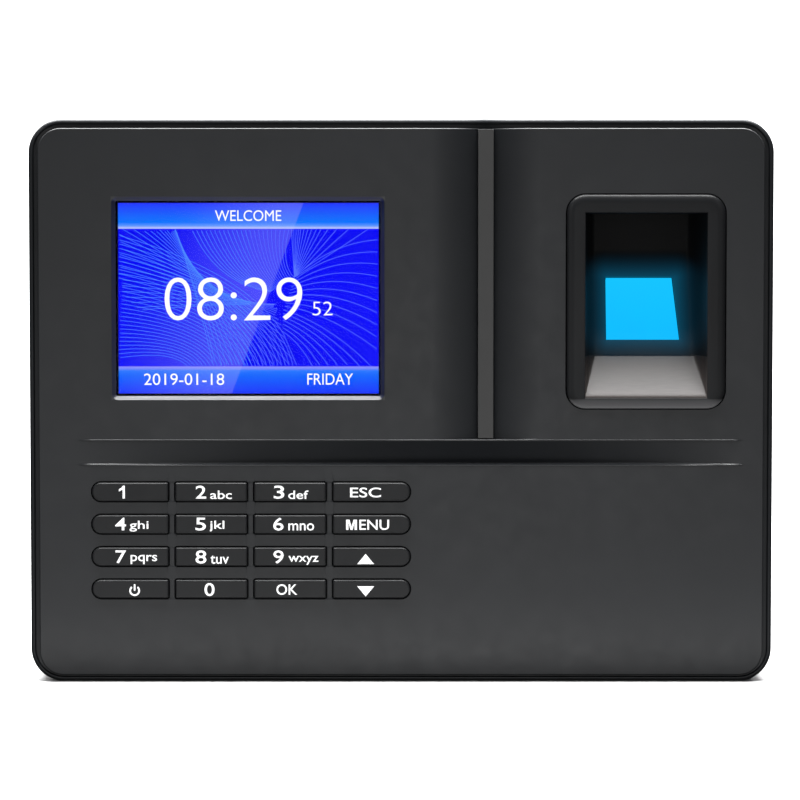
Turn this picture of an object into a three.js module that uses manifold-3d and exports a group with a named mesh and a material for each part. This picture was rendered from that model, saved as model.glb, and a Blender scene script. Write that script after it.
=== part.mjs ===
// Fingerprint attendance terminal: a shallow front cover and a deep rear cover around a colour
// display, a sixteen-key keypad, an optical fingerprint reader in a finger pocket, one main board,
// a speaker and two sockets, hung on a sheet-steel wall plate.
//
// Millimetres. +X is to the right as the user sees it, +Y goes from the user into the terminal,
// +Z is up. The terminal stands on its lower edge, and the origin is at the middle of its base.

import * as THREE from "three";
import { mergeVertices } from "three/addons/utils/BufferGeometryUtils.js";
import Module from "manifold-3d";

const wasm = await Module();
wasm.setup();

// ---------------------------------------------------------------- driving dimensions

// Covers
const BODY_WIDTH = 185;
const BODY_HEIGHT = 140;
const BODY_DEPTH = 29.6; // from the front field to the back of the rear cover
const CORNER_RADIUS = 8.2;
const WALL = 2.5;
const RIM_SIDE = 2.45; // from the outline to the raised front field, at the sides
const RIM_TOP = 2.1;
const RIM_BOTTOM = 1.7;
const RIM_DROP = 1.3; // how far the rim lies behind the front field
const RIM_BEAD = 1.1; // width of the bead outside the rim's groove
const GROOVE_DEPTH = 0.6;
const GROOVE_SLOPE = 0.15; // lean of the groove's two sides
const EDGE_ROUND = 0.9; // outer edge of the rim
const FIELD_CHAMFER = 0.3;
const BACK_ROUND = 3.5; // rear edge of the rear cover
const SEAM = 0.3; // gap between the two covers
const LIP_LENGTH = 1.4; // tongue of the front cover inside the rear cover
const LIP_INSET = 1.3;

// Clearances
const FIT = 0.3; // between two seated pieces
const SLIDE = 0.2; // around a moving key
const SCREW_GAP = 0.1;
const BITE = 0.5; // how far joined solids sink into each other
const PAST = 1; // how far a cutter runs past a face

// Display
const VIEW_WIDTH = 64.8;
const VIEW_HEIGHT = 47.4;
const VIEW_BORDER = 0.5; // black border between the picture and its opening
const VIEW_FROM_LEFT = 22.1; // picture's left edge from the left side
const VIEW_FROM_TOP = 20.7; // picture's upper edge from the top
const BEZEL_SLOPE = 1.0; // width of the sloped edge round the display opening
const BEZEL_LAND = 0.3; // straight edge at the foot of that slope
const LENS_THICKNESS = 1.2;
const LENS_OVERLAP = 1.8; // lens behind the cover, past its opening
const LENS_CORNER = 0.8;
const OPENING_CORNER = 0.5;
const PANEL_THICKNESS = 1.6;
const PANEL_OVERLAP = 2.6;
const DISPLAY_FRAME_EDGE = 3;
const DISPLAY_FRAME_DEPTH = 4.6;
const RIBBON_WIDTH = 20;
const RIBBON_THICKNESS = 0.25;
const RIB_THICKNESS = 1.6; // ribs of the rear cover behind the display's frame

// Keypad
const KEY_ROWS = 4;
const KEY_HEIGHT = 5.1; // of a key's opening
const KEY_PITCH = 8.08; // row to row
const KEY_WIDTHS = [19.4, 18.3, 18.3, 19.6]; // openings, column by column
const KEY_COLUMN_GAP = 1.3;
const KEYPAD_FROM_LEFT = 15.4;
const KEYPAD_FROM_BOTTOM = 23.3; // middle of the lowest row
const KEY_PROUD = 0.8;
const KEY_TRAVEL = 0.8;
const KEY_FLANGE = 0.45; // flange past the opening
const KEY_FLANGE_THICKNESS = 0.8;
const KEY_CORNER = 0.65;
const KEY_CHAMFER = 0.25;
const KEY_END_FLAT = 0.3; // straight stretch in the middle of a key's round end
const DOME_HEIGHT = 2 * KEY_TRAVEL;
const DOME_FOOT = [11, 4];
const DOME_CROWN = [9, 2.8];
const DOME_CORNER = 0.6;
const MAT_THICKNESS = 1;
const MAT_MARGIN = 1.4;
const MAT_CORNER = 2;

// Sculpted front: an accent strip between two coves, over a ledge that runs across
const STRIP_WIDTH = 3.8;
const STRIP_THICKNESS = 1;
const STRIP_CORNER = 0.1;
const STRIP_OFFSET = 2.5; // to the right of the middle between display and finger pocket
const COVE_WIDTH = 11.5;
const COVE_DEPTH = 0.9;
const LEDGE_BOTTOM = 54.4; // upper lip of the keypad area, from the base
const LEDGE_HEIGHT = 6.3;
const LEDGE_DEPTH = 1.5;
const LEDGE_FROM_LEFT = 12.1;
const LEDGE_FROM_RIGHT = 7.8;
const LIP_HEIGHT = 0.25; // bevel of the lip under the ledge

// Finger pocket
const HOOD_SIDE = 4.6; // flange beside the pocket
const HOOD_ABOVE = 4.5; // flange above it
const HOOD_BELOW = 2.6; // flange below it
const HOOD_RADIUS = 4.6;
const HOOD_PROUD = 1.2;
const HOOD_EDGE = 0.7; // rounding of its front edge
const HOOD_SEAT = 0.9; // depth of the seat that the hood's flange lies in
const HOOD_FROM_RIGHT = 12.15; // hood's right edge from the right side
const HOOD_FROM_TOP = 18.7; // hood's upper edge from the top
const POCKET_WIDTH = 30.1;
const POCKET_HEIGHT = 45.9;
const POCKET_WALL = 1.5;
const POCKET_FLOOR_WIDTH = 23;
const POCKET_FLOOR_BACK = 1.9; // from the pocket's floor to the hood's back, along Y
const POCKET_UNDER = 1.2; // wall under the pocket's lower edge
const RAMP_RISE = 10.2; // height of the finger ramp
const RAMP_DEPTH = 6.3;
const RAMP_STEP = 0.8; // drop from the ramp's top to the reader's plane
const STEP_RISE = 0.3;
const READER_TILT = 21; // degrees from upright
const READER_RISE = 25.6; // height of the tilted plane
const WINDOW_HEIGHT = 16.5; // glass of the reader, along its own plane
const WINDOW_FOOT = 18.2; // its width at the foot
const WINDOW_HEAD = 16.6; // its width at the head
const WINDOW_SINK = 0.35;
const WINDOW_GAP = 0.25;
const WINDOW_RAISE = 22.2; // middle of the glass above the pocket's lower edge
const READER_THICKNESS = 6;
const READER_WIDTH = 25;
const READER_LENGTH = 22;
const READER_BOARD_THICKNESS = 1.2;
const READER_BOARD_LENGTH = 18;
const READER_POST_RADIUS = 2;

// Electronics
const BOARD_THICKNESS = 1.6;
const BOARD_FROM_LEFT = 6.5;
const BOARD_FROM_RIGHT = 4;
const BOARD_CORNER = 1.5;
const BOARD_UNDER = 9.3; // board below the middle of the lowest row
const BOARD_OVER = 8.4; // board above the middle of the highest row
const USB_Z = 36;
const USB_WIDTH = 13.1;
const USB_THICKNESS = 5.7;
const USB_SHEET = 0.35;
const USB_TONGUE = { width: 11, thickness: 1.8, front: 1.2 };
const USB_FLOOR = 1.5; // closed end of the shell
const JACK_Z = 22;
const JACK_WIDTH = 9;
const JACK_BORE = 3.1;
const JACK_PIN = 1;
const JACK_FLOOR = 3;
const PORT_LENGTH = 13.8;
const PORT_SETBACK = 0.3; // mouths of the sockets behind the outer wall
const PIN_SETBACK = 1; // tongue and pin behind their mouths
const CELL_RADIUS = 10;
const CELL_THICKNESS = 3.2;
const CELL_FROM_KEYPAD = 24; // middle of the coin cell from the keypad's left edge
const CELL_HOLDER = { height: 4, floor: 1, rim: 1.6 };
const PROCESSOR = [14, 14, 1.4];
const MEMORY = [8, 6, 1.6];
const DISPLAY_SOCKET = [23, 3, 2.2];
const SOCKET_INSET = 2; // sockets under the board's upper edge
const READER_SOCKET = [9, 4, 4];
const SPEAKER_SOCKET = [6, 4, 4];
const READER_LEAD_RADIUS = 1.1;
const SPEAKER_LEAD_RADIUS = 0.8;
const SPEAKER_RADIUS = 14;
const SPEAKER_DEPTH = 5;
const SPEAKER_FROM_LEFT = 27;
const SPEAKER_FROM_TOP = 40;
const SPEAKER_CLIP_RADIUS = 0.9;
const GRILLE_PITCH = 3;
const GRILLE_SLOT = 1.3;
const GRILLE_ROWS = 7;
const GRILLE_INSET = 2.5; // ends of the slots inside the speaker's rim

// Fasteners
const CASE_SCREW_INSET = 9.4;
const CASE_SCREW = { shank: 1.3, head: 2.7, rise: 1.8, length: 12 };
const BOARD_SCREW = { shank: 1, head: 2.2, rise: 1.4, length: 5 };
const PLATE_SCREW = { shank: 1.3, head: 2.7, rise: 1.7, length: 9 };
const BOSS_RADIUS = 3.5;
const POST_RADIUS = 4.5;
const COUNTERBORE_RADIUS = 3.6;
const COUNTERBORE_DEPTH = 7;
const CASE_PILOT_DEPTH = 7; // pilot hole in a boss of the front cover
const CASE_SCREW_SPAN = 7.2; // from a screw's head to the boss it goes into
const BOARD_HOLE_RADIUS = 1.3;
const BOARD_SCREW_MARGIN = 4.4; // board screws from the board's upper and lower edges
const BOARD_POST_RADIUS = 2.8;
const HEAD_GAP = 0.1; // under a screw's head

// Wall plate
const PLATE_WIDTH = 90;
const PLATE_THICKNESS = 1.2;
const PLATE_PROUD = 0.4; // plate's back behind the rear cover
const PLATE_TOP = 118;
const PLATE_BOTTOM = 3.2;
const PLATE_RADIUS = 4;
const PLATE_HOLE_RADIUS = 2.4;
const PLATE_HOLE_INSET = 11;
const HOOK_SPREAD = 30; // hooks from the middle
const HOOK_Z = 100;
const HOOK_WIDTH = 8;
const HOOK_RISE = 6;
const HOOK_ROOT = 2; // height of the arm that carries a hook's tip
const HOOK_GAP = 1;
const HOOKS = [-HOOK_SPREAD, HOOK_SPREAD];
const TAB_WIDTH = 14; // tab under the cover that takes the locking screw
const TAB_LENGTH = 8.7;
const TAB_SCREW_DEPTH = 5.2; // locking screw in front of the rear cover's back
const TAB_GAP = 2; // beside the tab, in its notch
const TAB_BLOCK_WALL = 2; // walls of the block that the notch is cut in
const TAB_BLOCK_RISE = 10; // block above the notch

// Rating label, blank
const LABEL_WIDTH = 28;
const LABEL_HEIGHT = 22;
const LABEL_FROM_TOP = 29;
const LABEL_THICKNESS = 0.2;
const LABEL_SINK = 0.05;
const LABEL_MARGIN = 0.5;
const LABEL_CORNER = 1;

// ---------------------------------------------------------------- places worked out from them

const OVERALL_DEPTH = HOOD_PROUD + BODY_DEPTH + PLATE_PROUD;
const FIELD_Y = -OVERALL_DEPTH / 2 + HOOD_PROUD;
const BACK_Y = FIELD_Y + BODY_DEPTH;
const LEFT = -BODY_WIDTH / 2;
const RIGHT = BODY_WIDTH / 2;
const behind = (depth) => FIELD_Y + depth; // a depth behind the front field, as a Y

const VIEW_X = LEFT + VIEW_FROM_LEFT + VIEW_WIDTH / 2;
const VIEW_Z = BODY_HEIGHT - VIEW_FROM_TOP - VIEW_HEIGHT / 2;
const OPENING_WIDTH = VIEW_WIDTH + 2 * VIEW_BORDER;
const OPENING_HEIGHT = VIEW_HEIGHT + 2 * VIEW_BORDER;
const LENS_FRONT = WALL - LENS_THICKNESS;
const PANEL_FRONT = WALL + FIT;
const PANEL_BACK = PANEL_FRONT + PANEL_THICKNESS;
const FRAME_BACK = PANEL_FRONT + DISPLAY_FRAME_DEPTH;
const RIBBON_TOP = VIEW_Z - 0.3 * VIEW_HEIGHT;

const HOOD_WIDTH = POCKET_WIDTH + 2 * HOOD_SIDE;
const HOOD_HEIGHT = POCKET_HEIGHT + HOOD_ABOVE + HOOD_BELOW;
const HOOD_X = RIGHT - HOOD_FROM_RIGHT - HOOD_WIDTH / 2;
const HOOD_Z = BODY_HEIGHT - HOOD_FROM_TOP - HOOD_HEIGHT / 2;
const POCKET_Z = HOOD_Z - HOOD_HEIGHT / 2 + HOOD_BELOW; // pocket's lower edge
const POCKET_TOP = POCKET_Z + POCKET_HEIGHT;
const HOOD_BODY_HALF = POCKET_WIDTH / 2 + POCKET_WALL;
const HOOD_BODY_BOTTOM = POCKET_Z - POCKET_UNDER;
const HOOD_BODY_TOP = POCKET_TOP + POCKET_WALL;
const TILT = THREE.MathUtils.degToRad(READER_TILT);
const POCKET_BACK = RAMP_DEPTH + RAMP_STEP + READER_RISE * Math.tan(TILT);

const displayRight = VIEW_X + OPENING_WIDTH / 2 + BEZEL_SLOPE;
const hoodLeft = HOOD_X - HOOD_WIDTH / 2;
const STRIP_X = (displayRight + hoodLeft) / 2 + STRIP_OFFSET;
const STRIP_BOTTOM = LEDGE_BOTTOM + LEDGE_HEIGHT;
const FIELD_TOP = BODY_HEIGHT - RIM_TOP;

const FLANGE_FRONT = WALL + FIT;
const FLANGE_BACK = FLANGE_FRONT + KEY_FLANGE_THICKNESS;
const DOME_FRONT = FLANGE_BACK + FIT;
const MAT_FRONT = DOME_FRONT + DOME_HEIGHT;
const BOARD_FRONT = MAT_FRONT + MAT_THICKNESS + FIT;
const BOARD_BACK = BOARD_FRONT + BOARD_THICKNESS;
const SEAM_DEPTH = BOARD_FRONT + SLIDE; // back edge of the front cover
const PART_FRONT = BOARD_BACK + FIT; // parts on the back of the board

const keypadRowZ = (row) => KEYPAD_FROM_BOTTOM + (KEY_ROWS - 1 - row) * KEY_PITCH;
const keypadColumnX = (column) =>
  LEFT + KEYPAD_FROM_LEFT + KEY_WIDTHS.slice(0, column).reduce((sum, w) => sum + w + KEY_COLUMN_GAP, 0);
const KEYPAD_LEFT = keypadColumnX(0);
const KEYPAD_RIGHT = keypadColumnX(KEY_WIDTHS.length) - KEY_COLUMN_GAP;
const BOARD_LEFT = LEFT + BOARD_FROM_LEFT;
const BOARD_RIGHT = RIGHT - BOARD_FROM_RIGHT;
const BOARD_BOTTOM = keypadRowZ(KEY_ROWS - 1) - BOARD_UNDER;
const BOARD_TOP = keypadRowZ(0) + BOARD_OVER;

const COUNTERBORE_Y = BACK_Y - COUNTERBORE_DEPTH;
const BOSS_END = COUNTERBORE_Y - CASE_SCREW_SPAN;
const CASE_SCREWS = [LEFT + CASE_SCREW_INSET, RIGHT - CASE_SCREW_INSET].flatMap((x) =>
  [CASE_SCREW_INSET, BODY_HEIGHT / 2, BODY_HEIGHT - CASE_SCREW_INSET].map((z) => ({ x, z })),
);
const BOARD_SCREWS = [KEYPAD_LEFT - 5, HOOD_X + 7].flatMap((x) =>
  [BOARD_BOTTOM + BOARD_SCREW_MARGIN, BOARD_TOP - BOARD_SCREW_MARGIN].map((z) => ({ x, z })),
);
const SPEAKER_X = LEFT + SPEAKER_FROM_LEFT;
const SPEAKER_Z = BODY_HEIGHT - SPEAKER_FROM_TOP;
const INNER_Y = BACK_Y - WALL; // inner face of the rear cover
const SPEAKER_FRONT = INNER_Y - FIT - SPEAKER_DEPTH;
const PLATE_BACK = BACK_Y + PLATE_PROUD;
const PLATE_FRONT = PLATE_BACK - PLATE_THICKNESS;
const RECESS_Y = PLATE_FRONT - FIT; // floor of the plate's recess in the rear cover
const TAB_FRONT = BACK_Y - TAB_LENGTH;
const TAB_SCREW_Y = BACK_Y - TAB_SCREW_DEPTH;
const HOOK_TIP = INNER_Y - FIT - PLATE_THICKNESS; // front of a hook's tip, inside the cover
const NOTCH_TOP = PLATE_BOTTOM + PLATE_THICKNESS + FIT;
const LABEL_X = (PLATE_WIDTH / 2 + RIGHT) / 2; // midway between the plate and the side
const LABEL_Z = BODY_HEIGHT - LABEL_FROM_TOP - LABEL_HEIGHT / 2;
const LABEL_Y = BACK_Y - LABEL_SINK - LABEL_THICKNESS;
const PORT_X = [RIGHT - PORT_SETBACK - PORT_LENGTH, RIGHT - PORT_SETBACK];
const PORT_Y = behind(PART_FRONT);
const JACK_Y = PORT_Y + JACK_WIDTH / 2;
const READER_SOCKET_X = HOOD_X - 4;
const SPEAKER_SOCKET_X = SPEAKER_X + 6;
const CELL_X = KEYPAD_LEFT + CELL_FROM_KEYPAD;
const CELL_Z = (BOARD_BOTTOM + BOARD_TOP) / 2;

// ---------------------------------------------------------------- solids

// A closed geometry as a manifold-3d solid.
function solid(geometry) {
  const flat = geometry.index ? geometry.toNonIndexed() : geometry.clone();
  flat.deleteAttribute("normal");
  flat.deleteAttribute("uv");
  const merged = mergeVertices(flat, 1e-4);
  return new wasm.Manifold(
    new wasm.Mesh({
      numProp: 3,
      vertProperties: merged.attributes.position.array,
      triVerts: new Uint32Array(merged.index.array),
    }),
  );
}

// A manifold-3d solid as a geometry.
function geometryOf(made) {
  const mesh = made.getMesh();
  const geometry = new THREE.BufferGeometry();
  geometry.setAttribute("position", new THREE.BufferAttribute(new Float32Array(mesh.vertProperties), 3));
  geometry.setIndex(new THREE.BufferAttribute(new Uint32Array(mesh.triVerts), 1));
  const flat = geometry.toNonIndexed();
  flat.computeVertexNormals();
  return flat;
}

const join = (...geometries) => geometries.map(solid).reduce((sum, s) => sum.add(s));
const cut = (body, ...geometries) => geometries.map(solid).reduce((rest, s) => rest.subtract(s), body);

const cornerSteps = (radius) => (radius < 1 ? 1 : radius < 3 ? 4 : 6);

// The points of a rectangle in the front view, with its own corner radius on the left and right.
function panelPoints(x0, x1, z0, z1, leftRadius, rightRadius, leftSteps, rightSteps) {
  const corners = [
    [x1 - rightRadius, z0 + rightRadius, rightRadius, rightSteps, -90],
    [x1 - rightRadius, z1 - rightRadius, rightRadius, rightSteps, 0],
    [x0 + leftRadius, z1 - leftRadius, leftRadius, leftSteps, 90],
    [x0 + leftRadius, z0 + leftRadius, leftRadius, leftSteps, 180],
  ];
  return corners.flatMap(([x, z, radius, steps, start]) =>
    Array.from({ length: steps + 1 }, (_, i) => {
      const turn = THREE.MathUtils.degToRad(start + (90 * i) / steps);
      return new THREE.Vector2(x + radius * Math.cos(turn), z + radius * Math.sin(turn));
    }),
  );
}

function panelShape(x0, x1, z0, z1, radius) {
  const steps = cornerSteps(radius);
  return new THREE.Shape(panelPoints(x0, x1, z0, z1, radius, radius, steps, steps));
}

function centredPanel(x, z, width, height, radius) {
  return panelShape(x - width / 2, x + width / 2, z - height / 2, z + height / 2, radius);
}

function centredPoints(x, z, width, height, radius, steps) {
  const [right, top] = [x + width / 2, z + height / 2];
  return panelPoints(x - width / 2, right, z - height / 2, top, radius, radius, steps, steps);
}

// The covers' outline in the front view, moved in by its own inset at the sides, top and bottom.
function outlinePoints(side, top = side, bottom = side) {
  const radius = Math.max(CORNER_RADIUS - side, OPENING_CORNER);
  return panelPoints(LEFT + side, RIGHT - side, bottom, BODY_HEIGHT - top, radius, radius, 6, 6);
}

const outline = (inset) => new THREE.Shape(outlinePoints(inset));

// A front-view shape extruded from one Y to a larger one.
function slab(shape, y0, y1) {
  return new THREE.ExtrudeGeometry(shape, { depth: y1 - y0, bevelEnabled: false, curveSegments: 6 })
    .rotateX(Math.PI / 2)
    .translate(0, y1, 0);
}

// A closed skin over front-view outlines, each at its own depth behind the front field.
function layers(outlines) {
  return loft(
    outlines.map(([points, depth]) => points.map((p) => [p.x, behind(depth), p.y])),
    [0, 2],
  );
}

// A quarter round as [inset, depth] steps, from the side of a piece to its face.
function quarterRound(radius, steps) {
  return Array.from({ length: steps + 1 }, (_, i) => {
    const turn = (Math.PI / 2) * (i / steps);
    return [radius * (1 - Math.cos(turn)), radius * (1 - Math.sin(turn))];
  });
}

function box(x0, x1, y0, y1, z0, z1) {
  return new THREE.BoxGeometry(x1 - x0, y1 - y0, z1 - z0).translate(
    (x0 + x1) / 2,
    (y0 + y1) / 2,
    (z0 + z1) / 2,
  );
}

// A cylinder along Y.
function rod(x, z, y0, y1, radius, sides = 16) {
  return new THREE.CylinderGeometry(radius, radius, y1 - y0, sides).translate(x, (y0 + y1) / 2, z);
}

// A round solid about a line along Y, from a profile of [radius, y] points.
function turned(profile, sides) {
  return new THREE.LatheGeometry(
    profile.map(([r, y]) => new THREE.Vector2(r, y)),
    sides,
  );
}

// A cylinder along X.
function alongX(radius, x0, x1, y, z, sides) {
  return new THREE.CylinderGeometry(radius, radius, x1 - x0, sides)
    .rotateZ(Math.PI / 2)
    .translate((x0 + x1) / 2, y, z);
}

// A cylinder along Z.
function upright(radius, x, y, z0, z1, sides) {
  return new THREE.CylinderGeometry(radius, radius, z1 - z0, sides)
    .rotateX(Math.PI / 2)
    .translate(x, y, (z0 + z1) / 2);
}

// A profile in the side view, as [y, z] points, extruded from one X to a larger one.
function sideProfile(points, x0, x1) {
  const shape = new THREE.Shape(points.map(([y, z]) => new THREE.Vector2(y, z)));
  const geometry = new THREE.ExtrudeGeometry(shape, { depth: x1 - x0, bevelEnabled: false });
  // the shape's x, y and depth become the part's Y, Z and X
  return geometry.applyMatrix4(new THREE.Matrix4().set(0, 0, 1, x0, 1, 0, 0, 0, 0, 1, 0, 0, 0, 0, 0, 1));
}

// A closed skin over rings of [x, y, z] points, which all hold the same number of points.
// capAxes names the two coordinates in which the first and last ring are seen as outlines.
function loft(rings, capAxes) {
  const count = rings[0].length;
  const positions = rings.flat(2);
  const index = [];
  for (let ring = 0; ring + 1 < rings.length; ring += 1) {
    for (let i = 0; i < count; i += 1) {
      const a = ring * count + i;
      const b = ring * count + ((i + 1) % count);
      index.push(a, b, b + count, a, b + count, a + count);
    }
  }
  // a cap's triangles turn the same way whichever way the outline runs, so they are turned to suit
  const addCap = (ring, start, forward) => {
    const points = ring.map((p) => new THREE.Vector2(p[capAxes[0]], p[capAxes[1]]));
    const keep = THREE.ShapeUtils.isClockWise(points) !== forward;
    for (const [a, b, c] of THREE.ShapeUtils.triangulateShape(points, [])) {
      index.push(start + a, start + (keep ? b : c), start + (keep ? c : b));
    }
  };
  addCap(rings[0], 0, false);
  addCap(rings[rings.length - 1], (rings.length - 1) * count, true);
  const geometry = new THREE.BufferGeometry();
  geometry.setAttribute("position", new THREE.Float32BufferAttribute(positions, 3));
  geometry.setIndex(index);
  return facingOut(geometry);
}

// Turns a closed geometry's faces round if they point inwards.
function facingOut(geometry) {
  const p = geometry.attributes.position;
  const index = geometry.index.array;
  const [a, b, c] = [new THREE.Vector3(), new THREE.Vector3(), new THREE.Vector3()];
  let volume = 0;
  for (let i = 0; i < index.length; i += 3) {
    a.fromBufferAttribute(p, index[i]);
    b.fromBufferAttribute(p, index[i + 1]);
    c.fromBufferAttribute(p, index[i + 2]);
    volume += a.dot(b.cross(c));
  }
  if (volume >= 0) return geometry;
  for (let i = 0; i < index.length; i += 3) [index[i + 1], index[i + 2]] = [index[i + 2], index[i + 1]];
  return geometry;
}

// A round lead along a smooth curve through points.
function lead(points, radius, steps) {
  const curve = new THREE.CatmullRomCurve3(points.map((p) => new THREE.Vector3(...p)));
  const section = new THREE.Shape().absarc(0, 0, radius, 0, 2 * Math.PI, false);
  return new THREE.ExtrudeGeometry(section, { extrudePath: curve, steps, curveSegments: 4, bevelEnabled: false });
}

// ---------------------------------------------------------------- materials

const plastic = (color, roughness) => new THREE.MeshStandardMaterial({ color, roughness, metalness: 0 });
const metal = (color, roughness) => new THREE.MeshStandardMaterial({ color, roughness, metalness: 1 });

const materials = {
  frontCover: plastic(0x333436, 0.45),
  rearCover: plastic(0x26272a, 0.6),
  hood: plastic(0x2b2c2f, 0.35),
  strip: plastic(0x48484a, 0.4),
  key: plastic(0x2f3033, 0.4),
  silicone: plastic(0x3c4046, 0.8),
  lens: new THREE.MeshStandardMaterial({ color: 0xf4f7ff, roughness: 0.05, transparent: true, opacity: 0.3 }),
  picture: new THREE.MeshStandardMaterial({ color: 0x0a18f5, emissive: 0x0a18f5, roughness: 0.3 }),
  readerGlass: new THREE.MeshStandardMaterial({ color: 0x0fc0ff, emissive: 0x0fc0ff, roughness: 0.1 }),
  board: plastic(0x12512e, 0.5),
  chip: plastic(0x17181a, 0.5),
  blackPlastic: plastic(0x141416, 0.5),
  whitePlastic: plastic(0xd9d8d2, 0.5),
  ribbon: plastic(0xc0702c, 0.45),
  lead: plastic(0x1b1b1d, 0.6),
  label: plastic(0xc9cacc, 0.5),
  steel: metal(0xb3b6b9, 0.4),
  zinc: metal(0xa9adb2, 0.35),
  brass: metal(0xc9a85a, 0.3),
};

const terminal = new THREE.Group();

function addMesh(name, geometry, material, parent = terminal) {
  const mesh = new THREE.Mesh(geometry, material);
  mesh.name = name;
  parent.add(mesh);
  return mesh;
}

// ---------------------------------------------------------------- sculpting of the front field

// Depth of the ledge's back at an X: deepest under the accent strip, running out at both ends.
function ledgeDepth(x) {
  const left = LEFT + LEDGE_FROM_LEFT;
  const right = RIGHT - LEDGE_FROM_RIGHT;
  const share = x < STRIP_X ? (STRIP_X - x) / (STRIP_X - left) : (x - STRIP_X) / (right - STRIP_X);
  return LEDGE_DEPTH * Math.max(0.03, 1 - share * share);
}

// The slope above the keypad area, which runs back as it goes down and ends under a sharp lip.
function ledgeCutter() {
  const left = LEFT + LEDGE_FROM_LEFT;
  const right = RIGHT - LEDGE_FROM_RIGHT;
  const steps = 20;
  const rings = [];
  for (let i = 0; i <= steps; i += 1) {
    const x = left + ((right - left) * i) / steps;
    const depth = ledgeDepth(x);
    const section = [
      [-PAST, LEDGE_HEIGHT],
      [0, LEDGE_HEIGHT],
      [0.3 * depth, 0.6 * LEDGE_HEIGHT],
      [0.75 * depth, 0.25 * LEDGE_HEIGHT],
      [depth, LIP_HEIGHT],
      [0.25 * depth, 0],
      [0, -LIP_HEIGHT],
      [-PAST, -LIP_HEIGHT],
    ];
    rings.push(section.map(([y, z]) => [x, behind(y), LEDGE_BOTTOM + z]));
  }
  return loft(rings, [1, 2]);
}

// One of the two coves that fall towards the accent strip; side is -1 on its left, 1 on its right.
function coveCutter(side) {
  const inner = STRIP_X + (side * STRIP_WIDTH) / 2;
  const room = side < 0 ? inner - displayRight : hoodLeft - inner;
  const width = Math.min(COVE_WIDTH, room - 1);
  const steps = 5;
  const points = [[inner, behind(-PAST)]];
  for (let i = 0; i <= steps; i += 1) {
    const share = i / steps; // 0 at the strip, 1 where the cove runs out
    points.push([inner + side * width * share, behind(COVE_DEPTH * (1 - share) ** 1.6)]);
  }
  points.push([inner + side * width, behind(-PAST)]);
  const shape = new THREE.Shape(points.map(([x, y]) => new THREE.Vector2(x, y)));
  const height = FIELD_TOP + PAST - STRIP_BOTTOM;
  return new THREE.ExtrudeGeometry(shape, { depth: height, bevelEnabled: false }).translate(0, 0, STRIP_BOTTOM);
}

// The accent strip in the front view, grown at its sides and foot by a margin.
function stripShape(margin) {
  const half = STRIP_WIDTH / 2 + margin;
  const foot = STRIP_BOTTOM + SLIDE - margin;
  return panelShape(STRIP_X - half, STRIP_X + half, foot, FIELD_TOP - FIELD_CHAMFER + margin, STRIP_CORNER);
}

// ---------------------------------------------------------------- keypad

const KEY_NAMES = [
  ["key_1", "key_2", "key_3", "key_esc"],
  ["key_4", "key_5", "key_6", "key_menu"],
  ["key_7", "key_8", "key_9", "key_up"],
  ["key_power", "key_0", "key_ok", "key_down"],
];

// A key's outline, grown past its opening by a margin. The outer columns have a round end.
function keyPoints(row, column, margin) {
  const x0 = keypadColumnX(column) - margin;
  const x1 = keypadColumnX(column) + KEY_WIDTHS[column] + margin;
  const z = keypadRowZ(row);
  const half = KEY_HEIGHT / 2 + margin;
  const end = (isRound) => (isRound ? [half - KEY_END_FLAT / 2, 5] : [KEY_CORNER + margin, 1]);
  const [leftRadius, leftSteps] = end(column === 0);
  const [rightRadius, rightSteps] = end(column === KEY_WIDTHS.length - 1);
  return panelPoints(x0, x1, z - half, z + half, leftRadius, rightRadius, leftSteps, rightSteps);
}

function forEachKey(visit) {
  KEY_NAMES.forEach((names, row) => names.forEach((name, column) => visit(name, row, column)));
}

function key(row, column) {
  return layers([
    [keyPoints(row, column, -SLIDE - KEY_CHAMFER), -KEY_PROUD],
    [keyPoints(row, column, -SLIDE), -KEY_PROUD + KEY_CHAMFER],
    [keyPoints(row, column, -SLIDE), FLANGE_FRONT],
    [keyPoints(row, column, KEY_FLANGE), FLANGE_FRONT],
    [keyPoints(row, column, KEY_FLANGE), FLANGE_BACK],
  ]);
}

function keypadMat() {
  const sheet = panelShape(
    KEYPAD_LEFT - MAT_MARGIN,
    KEYPAD_RIGHT + MAT_MARGIN,
    keypadRowZ(KEY_ROWS - 1) - KEY_HEIGHT / 2 - MAT_MARGIN,
    keypadRowZ(0) + KEY_HEIGHT / 2 + MAT_MARGIN,
    MAT_CORNER,
  );
  const domes = [];
  forEachKey((name, row, column) => {
    const x = keypadColumnX(column) + KEY_WIDTHS[column] / 2;
    const z = keypadRowZ(row);
    domes.push(
      layers([
        [centredPoints(x, z, ...DOME_CROWN, DOME_CORNER, 1), DOME_FRONT],
        [centredPoints(x, z, ...DOME_FOOT, DOME_CORNER, 1), MAT_FRONT + BITE],
      ]),
    );
  });
  return geometryOf(join(slab(sheet, behind(MAT_FRONT), behind(MAT_FRONT + MAT_THICKNESS)), ...domes));
}

// ---------------------------------------------------------------- finger pocket

// Depth of the pocket's floor at a height above its lower edge.
function floorDepth(height) {
  if (height <= RAMP_RISE) return -HOOD_PROUD + ((RAMP_DEPTH + HOOD_PROUD) * height) / RAMP_RISE;
  const above = Math.min(height - READER_FOOT, READER_RISE);
  return RAMP_DEPTH + RAMP_STEP + above * Math.tan(TILT);
}

const READER_FOOT = RAMP_RISE + STEP_RISE;
const FLOOR_STATIONS = [0, 0.5 * RAMP_RISE, RAMP_RISE, READER_FOOT, READER_FOOT + READER_RISE, POCKET_HEIGHT];

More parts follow.
